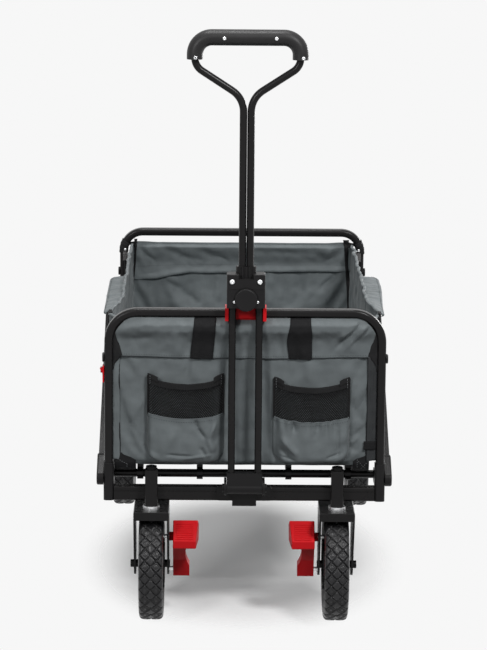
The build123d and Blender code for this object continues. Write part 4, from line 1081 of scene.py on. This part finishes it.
class Pocket:
    """One pouch on the front panel: a grey lower half, a net above it and an elastic hem."""

    def __init__(self, index):
        self.index = index
        self.side = SIDES[index][0]
        self.x0 = (POCKETS_LOW.x, POCKETS_HIGH.x - POCKET_W)[index]
        self.drop = POCKET_DROPS[index]
        self.folds = [
            (ax * POCKET_W, az, bx * POCKET_W, bz, width, depth)
            for ax, az, bx, bz, width, depth in POCKET_FOLDS[index]
        ]

    def hem_z(self, s):
        """Height of the elastic hem's upper edge: it hangs between the pocket's corners."""
        return HEM_Z + self.drop - HEM_SAG * sin(pi * s) ** 0.75

    def seam_z(self, s):
        """Height of the seam between net and cloth."""
        return MESH_SEAM_Z + 0.004 + self.drop - SEAM_SAG * sin(pi * s)

    def bottom_z(self, s):
        """Height of the pouch's lower edge, with its round corners."""
        share = max(0.0, abs(2 * s - 1) - (1 - POCKET_ROUND)) / POCKET_ROUND
        return POCKET_BOTTOM + POCKET_CORNER * corner_drop(share)

    def depth(self, s, z):
        """How far the pouch stands off the panel. The side towards the handle slopes, the other is steep."""
        inward = 1 - s if self.index == 0 else s
        slope = ease(inward / POCKET_SLOPE) * swell((1 - inward) / POCKET_STEEP)
        rise = swell((z - self.bottom_z(s)) / POCKET_RISE)
        mouth = lerp(1.0, MOUTH_SHARE, ease((z - MOUTH_LOW) / MOUTH_RUN))
        bag = 0.0010 + POCKET_DEPTH * slope * rise * mouth * (0.86 + 0.14 * sin(pi * s))
        lift = FOLD_GAIN * folds_at(self.folds, s * POCKET_W, z)
        if self.index == 1:
            pleat = sin(s * tau * PLEATS + 1.5 * sin(s * 9)) * bump(self.seam_z(s) - z, 0.004, 0.016)
            lift += PLEAT_HEIGHT * pleat
        lift += waves(s * POCKET_W, z, (0.0010, 0.022, 20 + self.index))
        return max(0.0008, bag - lift * inside(s, 8) * rise)

    def point(self, s, z, lift=0.0):
        """A point of the pouch's surface at a share across and a height."""
        x = self.x0 + s * POCKET_W
        return Vector((x, front_face(x, z) - self.depth(s, z) - lift, z))

    def pouch(self):
        def place(s, t):
            return self.point(s, lerp(self.bottom_z(s), self.seam_z(s) + 0.001, t), 0.0012 * ease(t * 6 - 5))

        return cloth_grid(f"pocket_pouch_{self.side}", (60, 44), (POCKET_W, 0.08), place, CLOTH)

    def net(self):
        """Hexagonal net, each strand a real one."""
        name = f"pocket_net_{self.side}"
        row_step = MESH_PITCH * sqrt(3) / 2
        radius = MESH_PITCH / sqrt(3)
        slack = 1e-6
        bm = bmesh.new()
        found = {}

        def corner(u, v):
            key = (round(u * 2e5), round(v * 2e5))
            if key not in found:
                s = clamp(u / POCKET_W)
                low = self.seam_z(s) - 0.006
                high = self.hem_z(s) - ELASTIC_W * 0.8
                found[key] = bm.verts.new(self.point(s, lerp(low, high, v / NET_HEIGHT), 0.0002))
            return found[key]

        for j in range(int(NET_HEIGHT / row_step) + 1):
            for i in range(int(POCKET_W / MESH_PITCH) + 1):
                u = i * MESH_PITCH + (MESH_PITCH / 2 if j % 2 else 0)
                v = j * row_step
                turns = [pi / 6 + k * pi / 3 for k in range(6)]
                ring = [(u + radius * cos(turn), v + radius * sin(turn)) for turn in turns]
                wide = all(-slack <= a <= POCKET_W + slack for a, _ in ring)
                if wide and all(-slack <= b <= NET_HEIGHT + slack for _, b in ring):
                    bm.faces.new([corner(a, b) for a, b in ring])
        mesh = bpy.data.meshes.new(name)
        bm.to_mesh(mesh)
        bm.free()
        mesh.materials.append(NET)
        obj = link_object(name, mesh)
        wire = obj.modifiers.new("strands", "WIREFRAME")
        wire.thickness = MESH_STRAND
        wire.use_boundary = True
        wire.use_even_offset = False
        return apply_modifiers(obj)

    def elastic(self):
        """The gathered elastic hem along the pocket's mouth."""
        def place(s, t):
            gather = GATHER_HEIGHT * sin(s * tau * GATHERS) * (1 - 0.4 * t)
            return self.point(s, self.hem_z(s) - ELASTIC_W * (1 - t), 0.0009 + gather)

        size = (POCKET_W, ELASTIC_W)
        return cloth_grid(f"pocket_elastic_{self.side}", (160, 8), size, place, BINDING, 0.0016)

    def upright(self, s, low, high, count, lift):
        """A line up the pocket at a share across."""
        return [self.point(s, lerp(low, high, i / count), lift) for i in range(count + 1)]

    def across(self, margin, height, lift):
        """A line across the pocket, at the height that a function of the share gives."""
        shares = [lerp(margin, 1 - margin, i / (ROW_POINTS - 1)) for i in range(ROW_POINTS)]
        return [self.point(s, height(s), lift) for s in shares]

    def corner_stitches(self):
        """Pale bar tacks at the pocket's upper corners."""
        out = []
        top = self.hem_z(0.0) + 0.003
        for label, s in (("inner", 0.035), ("outer", 0.965)):
            line = self.upright(s, top - 0.016, top, 10, 0.0036)
            out.append(stitches(f"pocket_tack_{self.side}_{label}", line, PALE_THREAD))
        return out

    def bindings(self):
        """The black tape over each side edge, with a doubled tab at the pocket's corner."""
        out = []
        for label, s, reach in (("inner", 0.006, POCKET_TAB), ("outer", 0.994, -POCKET_TAB)):
            line = self.upright(s, self.seam_z(s) - 0.001, self.hem_z(s) + 0.002, 19, 0.0006)
            out.append(tube_along(f"pocket_edge_{self.side}_{label}", line, 0.0021, BINDING, squash=0.5))

            def place(a, t, s=s, reach=reach):
                z = lerp(self.hem_z(s) - 0.004, self.hem_z(s) + 0.0050, t) - 0.0060 * a * a
                return self.point(s + reach * a, z, 0.0022)

            name = f"pocket_tab_{self.side}_{label}"
            out.append(cloth_grid(name, (6, 6), (0.009, 0.008), place, BINDING, 0.0018))
        return out

    def sewing(self):
        """The cord on the net's seam, and stitch rows along the pouch's bottom and that seam."""
        edge = self.across(0.02, lambda s: self.bottom_z(s) + 0.0022, 0.0)
        seam = self.across(0.01, lambda s: self.seam_z(s) - 0.0042, 0.0008)
        hem = self.across(0.01, lambda s: self.seam_z(s) + 0.001, 0.0014)
        return [
            tube_along(f"pocket_hem_{self.side}", hem, CORD_R, CLOTH),
            stitches(f"pocket_edge_stitches_{self.side}", edge, GREY_THREAD),
            stitches(f"pocket_seam_stitches_{self.side}", seam, GREY_THREAD),
        ]


def build_front():
    thicken(front, CLOTH_T)
    ride_all([front], "front_frame")
    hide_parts("front_panel")
    band, sewing, hem, size = front_band()
    ride_all([band, sewing, hem], "front_frame")
    for _, side in SIDES:
        corner = gusset(side)
        ride_all([corner], "front_frame")
        flange, size = corner_flange(side)
        cord = piping(side)
        ride_all([flange, cord], "front_frame")
        piece, rows, size = corner_webbing(side)
        ride_all([piece, *rows], "front_frame")
        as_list(rows)
    tab = cloth_grid("corner_tab", (10, 8), (0.021, 0.014), corner_tab_point, WEBBING, WEBBING_T)
    ride_all([tab], "front_frame")
    for index in (0, 1):
        piece, rows = strap(index)
        ride_all([piece, *rows], "front_frame")
        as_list(rows)
        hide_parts("front_straps")
        pocket = Pocket(index)
        pouch = pocket.pouch()
        net = pocket.net()
        elastic = pocket.elastic()
        edges = pocket.bindings() + pocket.corner_stitches()
        sewn = pocket.sewing()
        ride_all([pouch, *sewn], "front_frame")
        ride_all([net, elastic, *edges], "front_frame")
        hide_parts("front_pockets")


# What is sewn to the rear panel

CASING_Z = 0.4445
CASING_TILT = 0.012
CASING_DROOP = 0.0135
DROOP_FROM = -0.085
DROOP_RUN = 0.11
CASING_OUT = 0.0044
REAR_LEAN = 0.0140
REAR_LEAN_RUN = 0.038
REAR_ROLL = 0.0060
REAR_ROLL_Z = 0.4935
REAR_ROLL_RUN = 0.0065


def casing_foot(x):
    """Height of the lower edge of the casing below the rear band: it droops towards the left corner."""
    droop = CASING_DROOP * ease((DROOP_FROM - x) / DROOP_RUN)
    return CASING_Z + CASING_TILT * x - droop + waves(x, 0, (0.0012, 0.03, 31))


def rear_band_point(s, t):
    """The rear hem band: a casing at its foot, then cloth that leans in up to the roll at its top."""
    foot = casing_foot((2 * s - 1) * PANEL_HALF)
    z = lerp(foot, REAR_TOP, t)
    x = (2 * s - 1) * half_width(z, REAR_ROUND, PANEL_HALF - 0.001)
    edge = inside(s, 9)
    stand = 0.0014 + CASING_OUT * edge * bump(z - foot, 0.0035, 0.0060)
    stand += edge * REAR_LEAN * ease((z - REAR_SEAM_Z) / REAR_LEAN_RUN)
    stand -= REAR_ROLL * ease((z - REAR_ROLL_Z) / REAR_ROLL_RUN)
    soft = folds_at(REAR_BAND_FOLDS, x, z) + waves(x, z, (0.0016, 0.04, 32), (0.0010, 0.015, 33))
    wall_y = rear_inner_face(x, min(z, REAR_TOP - 0.002)) - 0.0008
    return x, min(wall_y, REAR_Y - stand + edge * soft), z


def rear_front_y(x, z):
    """Y of whatever cloth faces the camera at a point of the rear wall."""
    rise = (z - casing_foot(x)) / (REAR_TOP - casing_foot(x))
    if rise <= 0:
        return rear_inner_face(x, z)
    return rear_band_point(0.5 + x / (2 * PANEL_HALF), min(1.0, rise))[1]


# The rear corner's tape: its middle and half its width at some heights, then its tie and its bunched top
TAPE_LOW = 0.300
TAPE_HIGH = 0.508
TAPE_MIDDLES = ((TAPE_LOW, 0.2035), (0.390, 0.2030), (0.412, 0.2036), (0.460, 0.1981), (TAPE_HIGH, 0.1964))
TAPE_WIDTHS = (
    (TAPE_LOW, 0.0014), (0.370, 0.0018), (0.412, 0.0040), (0.460, 0.0026), (0.495, 0.0036),
    (TAPE_HIGH, 0.0056),
)
TIE_X = 0.1985
TIE_LOW = 0.4930
TIE_HIGH = 0.5050
TIE_WAIST = 0.0030
BUNCH = 0.0016
BUNCH_Z = 0.490
BUNCH_RUN = 0.012


def level(pairs, z):
    """The value at a height, from pairs of height and value."""
    for (a, low), (b, high) in zip(pairs, pairs[1:]):
        if z <= b:
            return lerp(low, high, (z - a) / (b - a))
    return pairs[-1][1]


def rear_binding(side):
    """The black tape down the seam of a rear corner, bunched where it is tied at the top, and its tie."""
    thin, shift = (1.0, 0.0) if side > 0 else (0.5, 0.004)

    def place(s, t):
        z = lerp(TAPE_LOW, TAPE_HIGH, t)
        x = side * (level(TAPE_MIDDLES, z) + shift) + (2 * s - 1) * thin * level(TAPE_WIDTHS, z)
        bunch = BUNCH * ease((z - BUNCH_Z) / BUNCH_RUN) * (1 + waves(x, z, (1, 0.005, 34)))
        return x, rear_front_y(x, min(z, REAR_EDGE)) - 0.0012 - 0.0010 * sin(pi * s) - bunch, z

    def tie_place(s, t):
        z = lerp(TIE_LOW, TIE_HIGH, t) + TIE_WAIST * sin(pi * s) * (1 - 2 * t)
        reach = REAR_BEND[0] + sqrt(REAR_BEND_IN**2 - max(0.0, z - REAR_BEND[1]) ** 2)
        start = rear_front_y(side * TIE_X, min(z, REAR_EDGE)) - 0.0012
        x = side * lerp(TIE_X, reach + 0.0005, s)
        return x, lerp(start, REAR_BASE - 0.0060, s) + waves(x, z, (0.0008, 0.006, 35)), z

    name = side_name(side)
    piece = cloth_grid(f"rear_binding_{name}", (8, 70), (0.008, TAPE_HIGH - TAPE_LOW), place, BINDING)
    tie = cloth_grid(f"rear_tie_{name}", (16, 10), (0.022, 0.012), tie_place, BINDING)
    ride_all([piece, tie], "rear_frame")
    return [piece, tie]


# A screw head's profile from rim to socket, in shares of its radius
SCREW_PROFILE = ((1, 0), (0.92, 0.30), (0.70, 0.46), (0.46, 0.52), (0.42, 0.48), (0.40, 0.05), (0.02, 0))
SCREW_SUNK = 0.0006
SCREW_STEPS = 24


def button_screw(name, centre, radius, body):
    """A domed screw head with a socket, turned about an axis that points forward."""
    profile = [(1, -SCREW_SUNK / radius), *SCREW_PROFILE]
    axis = Vector(FORWARD)
    side = axis.orthogonal().normalized()
    up = axis.cross(side)
    verts = []
    for wide, height in profile:
        for k in range(SCREW_STEPS):
            angle = tau * k / SCREW_STEPS
            spoke = side * cos(angle) + up * sin(angle)
            verts.append(Vector(centre) + axis * height * radius + wide * radius * spoke)
    piece = mesh_object(name, verts, grid_faces(SCREW_STEPS, len(profile) - 1, closed=True), STEEL)
    weld(piece, 1e-6, turned=True)
    ride_all([piece], body)


# The sleeve on the rear hoop's bend, in degrees along it, then its rivet, the adjuster and its tail
BEND_R = 0.043
BEND_HALF_Y = 0.010
SLEEVE_STEPS = 28
SLEEVE_RINGS = 12
SLEEVE_FROM = -4
SLEEVE_TO = 30
RIVET_AT = (0.2200, 0.4890)
ADJUSTER_X = 0.2198
ADJUSTER_W = 0.0088
ADJUSTER_LOW = 0.4685
ADJUSTER_HIGH = 0.4845
RIBS = 4.5
RIB_HEIGHT = 0.0011
TAIL_X = 0.2204
TAIL_TOP = 0.470
TAIL_END = 0.440


def rear_fastening(side):
    """The sleeve round the rear hoop's bend with its rivet, and the ribbed adjuster that hangs below it."""
    name = side_name(side)
    low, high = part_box("rear_hoop")
    centre_y = (low.y + high.y) / 2
    face = centre_y - 0.0112
    verts = []
    for i in range(SLEEVE_RINGS + 1):
        angle = radians(lerp(SLEEVE_FROM, SLEEVE_TO, i / SLEEVE_RINGS))
        puff = 0.0010 + 0.0003 * sin(i * 1.7)
        for k in range(SLEEVE_STEPS):
            around = tau * k / SLEEVE_STEPS
            across = abs(cos(around)) ** 0.5 * (1 if cos(around) > 0 else -1)
            along = abs(sin(around)) ** 0.5 * (1 if sin(around) > 0 else -1)
            radius = BEND_R - HOOP_TUBE / 2 + (HOOP_TUBE / 2 + puff) * across
            x = high.x - BEND_R + radius * cos(angle)
            z = high.z - BEND_R + radius * sin(angle)
            verts.append((side * x, centre_y + (BEND_HALF_Y + puff) * along, z))
    faces = grid_faces(SLEEVE_STEPS, SLEEVE_RINGS, closed=True)
    sleeve = mesh_object(f"rear_sleeve_{name}", verts, faces, BINDING)
    thicken(sleeve, 0.0008)
    ride_all([sleeve], "rear_frame")
    button_screw(f"rear_rivet_{name}", (side * RIVET_AT[0], face, RIVET_AT[1]), 0.0026, "rear_frame")

    def place(s, t):
        ribs = RIB_HEIGHT * abs(sin(t * pi * RIBS)) ** 0.6
        x = ADJUSTER_X + (s - 0.5) * ADJUSTER_W
        z = lerp(ADJUSTER_LOW, ADJUSTER_HIGH, t)
        return side * x, face - 0.0004 - ribs - 0.0008 * sin(pi * s), z

    size = (ADJUSTER_W, ADJUSTER_HIGH - ADJUSTER_LOW)
    ribbed = cloth_grid(f"rear_adjuster_{name}", (8, 54), size, place, ADJUSTER, 0.0018)
    cord = [(side * TAIL_X, face - 0.0004, lerp(TAIL_TOP, TAIL_END, i / 10)) for i in range(11)]
    tail = tube_along(f"rear_adjuster_tail_{name}", cord, 0.0021, BINDING, 10)
    ride_all([ribbed], "rear_frame")
    ride_all([tail], "rear_frame")


def build_rear():
    thicken(rear, CLOTH_T)
    ride_all([rear], "rear_frame")
    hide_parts("rear_panel")
    size = (2 * PANEL_HALF, REAR_TOP - casing_foot(0))
    band = cloth_grid("rear_band", (150, 44), size, rear_band_point, CLOTH)
    seam = []
    for i in range(121):
        x = lerp(-PANEL_HALF + 0.004, PANEL_HALF - 0.004, i / 120)
        z = REAR_SEAM_Z + waves(x, 0, (0.0010, 0.05, 35)) - 0.004 * ease((-0.10 - x) / 0.10)
        seam.append((x, rear_front_y(x, z), z))
    sewing = stitches("rear_band_stitches", seam, GREY_THREAD)
    top = [point + Vector((0, 0.001, 0.0004)) for point in line_on(rear_band_point, (0, 1), (1, 1), 120)]
    edge = tube_along("rear_band_edge", top, 0.0019, CLOTH)
    ride_all([band, sewing, edge], "rear_frame")
    tapes = rear_binding(-1) + rear_binding(1)
    for _, side in SIDES:
        rear_fastening(side)


# What goes with the side walls, all riding on the front frame

FLAP_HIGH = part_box("side_flaps")[1]
FLAP_ROLL = 0.0016
FLAP_SLANT = 0.020
FLAP_DROP = 0.0088
FLAP_NEAR_Z = 0.4925
FLAP_FAR_Z = 0.4855
FLAP_FAR_CORNER = 0.012
FLAP_NEAR_CORNER = 0.004
TAB_NEAR = -0.274
TAB_FAR = -0.252
TAB_FOOT = 0.470
TAB_OVER = 0.15
TAB_LENGTH = 0.034
FOOT_START = SIDE_LOW.y + 0.011
FOOT_END = 0.325
FOOT_IN_X = 0.1840
FOOT_IN_Z = 0.2616
HEM_DROP = 0.014


def flap(side):
    """The flap that folds out over the side links' apex, from the wall's hem to a thin rolled edge."""
    name = f"side_flap_cloth_{side_name(side)}"
    seed = 41 + side
    near_y, far_y = (-0.244, FLAP_HIGH.y + 0.004) if side > 0 else (-0.234, FLAP_HIGH.y - 0.010)
    near_out, far_out = (0.2325, 0.2425) if side > 0 else (0.2350, 0.2365)

    def place(s, t):
        y = lerp(near_y, far_y - FLAP_SLANT * (1 - min(1.0, t * 1.1)), s)
        inner = SIDE_X + flare(y) + 0.001
        far = max(0.0, s - 0.92) / 0.08
        near = max(0.0, 0.03 - s) / 0.03
        reach = lerp(near_out, far_out, ease(s * 1.2)) - inner
        reach -= FLAP_FAR_CORNER * corner_drop(far) + FLAP_NEAR_CORNER * corner_drop(near)
        z_in = SIDE_HIGH.z + 0.0006 - FLAP_DROP * ease(s * 1.3)
        z_out = lerp(FLAP_NEAR_Z, FLAP_FAR_Z, ease(s * 1.4)) - 0.0010 * sin(s * 9)
        run = t * (reach + FLAP_ROLL * pi)
        if run < reach:
            x = inner + run
            z = lerp(z_in, z_out, (run / reach) ** 1.3)
        else:
            angle = (run - reach) / FLAP_ROLL
            x = inner + reach + FLAP_ROLL * sin(angle)
            z = z_out - FLAP_ROLL * (1 - cos(angle))
        z += waves(y, x, (0.0016, 0.045, seed)) * min(1.0, 3 * t) + waves(y, x, (0.0009, 0.018, seed + 2))
        return side * x, y, z

    size = (far_y - near_y, (near_out + far_out) / 2 - SIDE_X - 0.004 + FLAP_ROLL * pi)
    piece = cloth_grid(name, (110, 34), size, place, CLOTH)
    line = [point + Vector((0, 0, CLOTH_T / 2 - 0.0003)) for point in line_on(place, (0, 0.8), (1, 0.8), 90)]
    return piece, [stitches(f"{name}_stitches", line, GREY_THREAD, (0, 0, 1))], size


def side_tab(side):
    """The black webbing tab over the wall's hem just behind the front hoop."""
    def place(s, t):
        y = lerp(TAB_NEAR, TAB_FAR, s)
        run = t * (1 + TAB_OVER)
        z = lerp(TAB_FOOT, SIDE_HIGH.z + 0.0022, min(1.0, run))
        over = max(0.0, run - 1.0) / TAB_OVER
        x = SIDE_X + flare(y) * lean_at(z) + 0.0046 - 0.0050 * over
        return side * x, y, z + waves(y, z, (0.0005, 0.006, 47))

    size = (TAB_FAR - TAB_NEAR, TAB_LENGTH)
    return cloth_grid(f"side_tab_{side_name(side)}", (10, 24), size, place, WEBBING, WEBBING_T)


def side_foot(side):
    """The basket's bottom cloth, from the side wall's foot to under the edge of the floor mats."""
    def place(s, t):
        y = lerp(FOOT_START, FOOT_END, s)
        x = lerp(SIDE_X + 0.0003, FOOT_IN_X, t)
        z = lerp(SIDE_LOW.z + 0.0010, FOOT_IN_Z, ease(t * 3.6))
        return side * x, y, z + waves(y, x, (0.0004, 0.03, 48)) * (1 - t)

    return cloth_grid(f"side_foot_{side_name(side)}", (120, 16), (FOOT_END - FOOT_START, 0.027), place, CLOTH)


def build_side(name, side):
    wall = walls[name]
    thicken(wall, CLOTH_T)
    tree = tree_of(wall)

    def face(y, z):
        hit = first_hit(tree, (side * 0.4, y, z), (-side, 0, 0))
        return hit.x if hit else side * SIDE_X

    top_line = []
    low_line = []
    for i in range(3, 121):
        y = max(lerp(SIDE_LOW.y + 0.003, SIDE_HIGH.y - 0.003, i / 120), SIDE_LOW.y + 0.014)
        x = face(y, SIDE_HIGH.z - 0.0025) + waves(y, 0, (0.0012, 0.020, 44 + side))
        top_line.append((x, y, SIDE_HIGH.z - 0.0008 + waves(y, 0, (0.0012, 0.028, 46 + side))))
        z = SIDE_HIGH.z - HEM_DROP
        low_line.append((face(y, z) + side * CLOTH_T / 2, y, z))
    edge = tube_along(f"side_edge_{name}", top_line, 0.0026, CLOTH, 10)
    sewing = stitches(f"side_hem_stitches_{name}", low_line, GREY_THREAD, (side, 0, 0))
    cover, rows, cover_size = flap(side)
    tab = side_tab(side)
    foot = side_foot(side)
    for piece in (wall, edge, sewing, cover, *rows, foot, tab):
        if piece.modifiers:
            apply_modifiers(piece)
        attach(piece, "front_frame")
        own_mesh(piece)
    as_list(rows)
    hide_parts("side_walls")
    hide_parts("side_flaps")


# The floor

MAT_CELLS = (50, 42)
MAT_EDGE = 0.010
QUILT = 0.0010
QUILT_ROWS = 5
QUILT_EDGE = 0.03
PIPING_INSET = 0.0012


def floor_mat(end):
    """A padded board in its fabric cover, a little crowned, with a corded edge."""
    node = f"floor_board_{end}"
    body = f"floor_{end}"
    low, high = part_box(node)
    wide = high.x - low.x
    long = high.y - low.y
    middle = (low.z + high.z) / 2

    def surface_point(s, t, top):
        edge = min(s * wide, (1 - s) * wide, t * long, (1 - t) * long)
        x = low.x + s * wide
        y = low.y + t * long
        z = low.z + 0.0002
        if top:
            quilt = QUILT * (abs(sin(pi * QUILT_ROWS * s)) ** 0.5) * min(1.0, edge / QUILT_EDGE)
            z = high.z - 0.0012 + quilt + waves(x, y, (0.0003, 0.03, 51))
        return x, y, lerp(z, middle, (1 - ease(edge / MAT_EDGE)) ** 2)

    upper, uvs = grid_points(MAT_CELLS, (wide, long), lambda s, t: surface_point(s, t, True))
    lower, _ = grid_points(MAT_CELLS, (wide, long), lambda s, t: surface_point(s, t, False))
    faces = grid_faces(*MAT_CELLS)
    faces += [tuple(len(upper) + k for k in reversed(face)) for face in faces]
    mat = mesh_object(f"floor_mat_{end}", upper + lower, faces, CLOTH, uvs + uvs)
    weld(mat, 1e-5)
    left, right = low.x + PIPING_INSET, high.x - PIPING_INSET
    near, far = low.y + PIPING_INSET, high.y - PIPING_INSET
    loop = ((left, near), (right, near), (right, far), (left, far), (left, near))
    corners = [(x, y, middle) for x, y in loop]
    cord = tube_along(f"floor_mat_piping_{end}", spaced_points(corners, 0.008)[:-1], 0.0012, BINDING, 6, True)
    ride_all([mat], body)
    ride_all([cord], body)
    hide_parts(node)


def end_strip(end, start_y, end_y):
    """The cloth that closes the floor between a panel's foot and the mat, across the floor's hinge."""
    half = PANEL_HALF - 0.013
    z0 = PANEL_LOW.z + 0.0005
    z1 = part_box("floor_board_front")[0].z + 0.003

    def place(s, t):
        x = lerp(-half, half, s)
        y = lerp(start_y, end_y, t)
        sag = waves(x, y - min(start_y, end_y), (0.0006, 0.03, 61)) - 0.0012
        return x, y, lerp(z0, z1, ease(t)) + sag * sin(pi * t)

    size = (2 * half, abs(end_y - start_y))
    piece = apply_modifiers(cloth_grid(f"floor_strip_{end}", (80, 20), size, place, CLOTH))
    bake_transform(piece)


# Tyres

TYRE_DEEP = 0.027
TYRE_BEAD = 0.83
FLANK_STEPS = 6
TYRE_SHOULDER = 0.013
CROWN_STEPS = 46
CROWN_TURN = pi / 2 * 0.985
CROWN_POWER = 4.5

# The tread: its blocks round the tyre and where it ends, then its grooves as shares of half a width
TREAD_REPEATS = 29
TREAD_STEPS = 22
TREAD_DEPTH = 0.0040
TREAD_EDGE = 0.80
TREAD_FADE = 0.18
TREAD_GROOVE = 0.17
TREAD_FINE = 0.08
FINE_AT = 0.50
FINE_SHARE = 0.45
CENTRE_HALF = 0.03
CENTRE_SHARE = 0.4
BLOCK_MIDDLE = 0.45
GROOVE_FLAT = 0.45
GROOVE_WALL = 0.55


def groove(away, half):
    """Depth share of a steep-sided groove at a distance from its middle."""
    return 1 - ease((abs(away) / half - GROOVE_FLAT) / GROOVE_WALL)


def tyre(node, body):
    """A solid tyre with two columns of nested diamond blocks."""
    low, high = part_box(node)
    middle = (low + high) / 2
    half = (high.x - low.x) / 2
    outer = (high.z - low.z) / 2
    inner = outer - TYRE_DEEP
    around = TREAD_REPEATS * TREAD_STEPS

    # A flank from the bead to the shoulder, then the whole section: x, radius and share of tread
    flank = []
    for k in range(FLANK_STEPS + 1):
        share = k / FLANK_STEPS
        x = lerp(TYRE_BEAD * half, half, sin(share * pi / 2))
        flank.append((x, lerp(inner, outer - TYRE_SHOULDER, share)))
    section = [(-x, radius, 0.0) for x, radius in flank]
    for k in range(1, CROWN_STEPS):
        v = lerp(-1, 1, k / CROWN_STEPS)
        x = half * sin(v * CROWN_TURN) / sin(CROWN_TURN)
        tread = 1 - ease((abs(v) - TREAD_EDGE) / TREAD_FADE)
        section.append((x, outer - TYRE_SHOULDER * abs(v) ** CROWN_POWER, tread))
    section += [(x, radius, 0.0) for x, radius in reversed(flank)]
    section.append((0.0, inner - 0.0005, 0.0))

    verts = []
    for x, radius, tread in section:
        v = x / half
        for i in range(around):
            angle = tau * i / around
            cut = 0.0
            if tread > 0:
                diamond = abs(2 * ((i / TREAD_STEPS) % 1.0) - 1) + abs((abs(v) - BLOCK_MIDDLE) / BLOCK_MIDDLE)
                main = groove(diamond - 1.0, TREAD_GROOVE)
                fine = FINE_SHARE * groove(diamond - FINE_AT, TREAD_FINE)
                cut = TREAD_DEPTH * tread * max(main, fine, CENTRE_SHARE * groove(v, CENTRE_HALF))
            r = radius - cut
            verts.append((middle.x + x, middle.y + r * cos(angle), middle.z + r * sin(angle)))
    faces = grid_faces(around, len(section) - 1, closed=True, ring=True)
    piece = mesh_object(node.replace("tyre", "tread"), verts, faces, RUBBER)
    ride_all([piece], body)
    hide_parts(node)


# Small pieces on the handle

GRIP_SCREWS = (("a", -0.0375, 0.013), ("b", 0.0455, 0.013), ("c", -0.0835, 0.044), ("d", 0.0885, 0.044))


def handle_screws():
    low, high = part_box("slider_block")
    for name, side in SIDES:
        screw = (side * 0.0222, low.y + 0.0005, high.z - 0.0222)
        pin = (side * 0.0188, low.y - 0.0006, low.z + 0.0120)
        button_screw(f"block_screw_{name}", screw, 0.0042, "handle_lower")
        button_screw(f"block_pin_{name}", pin, 0.0025, "handle_lower")
    low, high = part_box("grip_front")
    for name, x, drop in GRIP_SCREWS:
        button_screw(f"grip_screw_{name}", (x, low.y + 0.0006, high.z - drop), 0.0030, "handle_upper")


def button_spring():
    """The lock button's return spring, which stays on the block. On the real handle it shortens as the button
    goes in; the copy here keeps its shape.
    """
    piece = link_object("return_spring", nodes["button_spring"].data.copy())
    piece.matrix_world = nodes["button_spring"].matrix_world.copy()
    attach(piece, "handle_lower")
    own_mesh(piece)
    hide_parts("button_spring")


build_front()
build_rear()
for name, side in SIDES:
    build_side(name, side)
for end in ("front", "rear"):
    floor_mat(end)
end_strip("front", PANEL_Y + 0.003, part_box("floor_board_front")[0].y + 0.004)
end_strip("rear", REAR_Y - 0.003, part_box("floor_board_rear")[1].y - 0.004)
for end in ("front", "rear"):
    for name, _ in SIDES:
        tyre(f"{end}_tyre_{name}", f"{end}_wheel_{name}")
handle_screws()
button_spring()


# Floor, light and camera

def pale_floor():
    """A pale floor that fades into the background and glows a little to the camera, for pale shadows."""
    bpy.ops.mesh.primitive_grid_add(x_subdivisions=8, y_subdivisions=8, size=8, location=FLOOR_AT)
    obj = bpy.context.object
    obj.name = "studio_floor"
    shader = Shader("studio_floor", (0.88, 0.88, 0.88), 0.9, 0.05)
    path = shader.node("ShaderNodeLightPath").outputs
    glow = shader.math("MULTIPLY", path["Is Camera Ray"], FLOOR_GLOW)
    shader.set(Emission_Color=(1, 1, 1, 1), Emission_Strength=glow)
    oval = shader.math("DIVIDE", shader.place(), FLOOR_OVAL, kind="ShaderNodeVectorMath", out="Vector")
    distance = shader.math("LENGTH", oval, kind="ShaderNodeVectorMath")
    fade = shader.node("ShaderNodeMapRange", Value=distance, From_Min=FLOOR_FADE, From_Max=1.0)
    shader.fill(fade, To_Min=0.0, To_Max=1.0)
    fade.interpolation_type = "SMOOTHSTEP"
    clear = shader.node("ShaderNodeBsdfTransparent")
    shader.mix_to("Material Output", fade.outputs["Result"], shader.bsdf, clear)
    obj.data.materials.append(shader.material)


def studio_world():
    """White for what the camera and reflections see, and softer light on the object."""
    world = bpy.data.worlds.new("studio")
    bpy.context.scene.world = world
    world.use_nodes = True
    kit = Nodes(world.node_tree)
    light = kit.fill(kit.tree.nodes["Background"], Color=(0.97, 0.985, 1.0, 1), Strength=AMBIENT)
    seen = kit.node("ShaderNodeBackground", Color=(BACKDROP, BACKDROP, BACKDROP, 1), Strength=1.0)
    path = kit.node("ShaderNodeLightPath").outputs
    either = kit.math("MAXIMUM", path["Is Camera Ray"], path["Is Glossy Ray"])
    any_of = kit.math("MAXIMUM", either, path["Is Transmission Ray"])
    kit.mix_to("World Output", any_of, light, seen)


pale_floor()
studio_world()
for name, at, target, width, watts in LAMPS:
    lamp_data = bpy.data.lights.new(name, "AREA")
    lamp_data.shape = "DISK"
    lamp_data.size = width
    lamp_data.energy = watts
    lamp = link_object(name, lamp_data)
    lamp.location = at
    lamp.rotation_euler = (Vector(target) - Vector(at)).to_track_quat("-Z", "Y").to_euler()

camera_data = bpy.data.cameras.new("camera")
camera_data.lens = CAMERA_LENS
camera_data.sensor_width = SENSOR
camera_data.sensor_fit = "AUTO"
camera = link_object("camera", camera_data)
camera.location = CAMERA_AT
aim = Euler((radians(90 - CAMERA_DOWN), 0, radians(CAMERA_PAN))).to_matrix()
camera.rotation_euler = (aim @ Matrix.Rotation(radians(CAMERA_ROLL), 3, "Z")).to_euler()
bpy.context.scene.camera = camera
bpy.context.scene.view_settings.view_transform = "Standard"
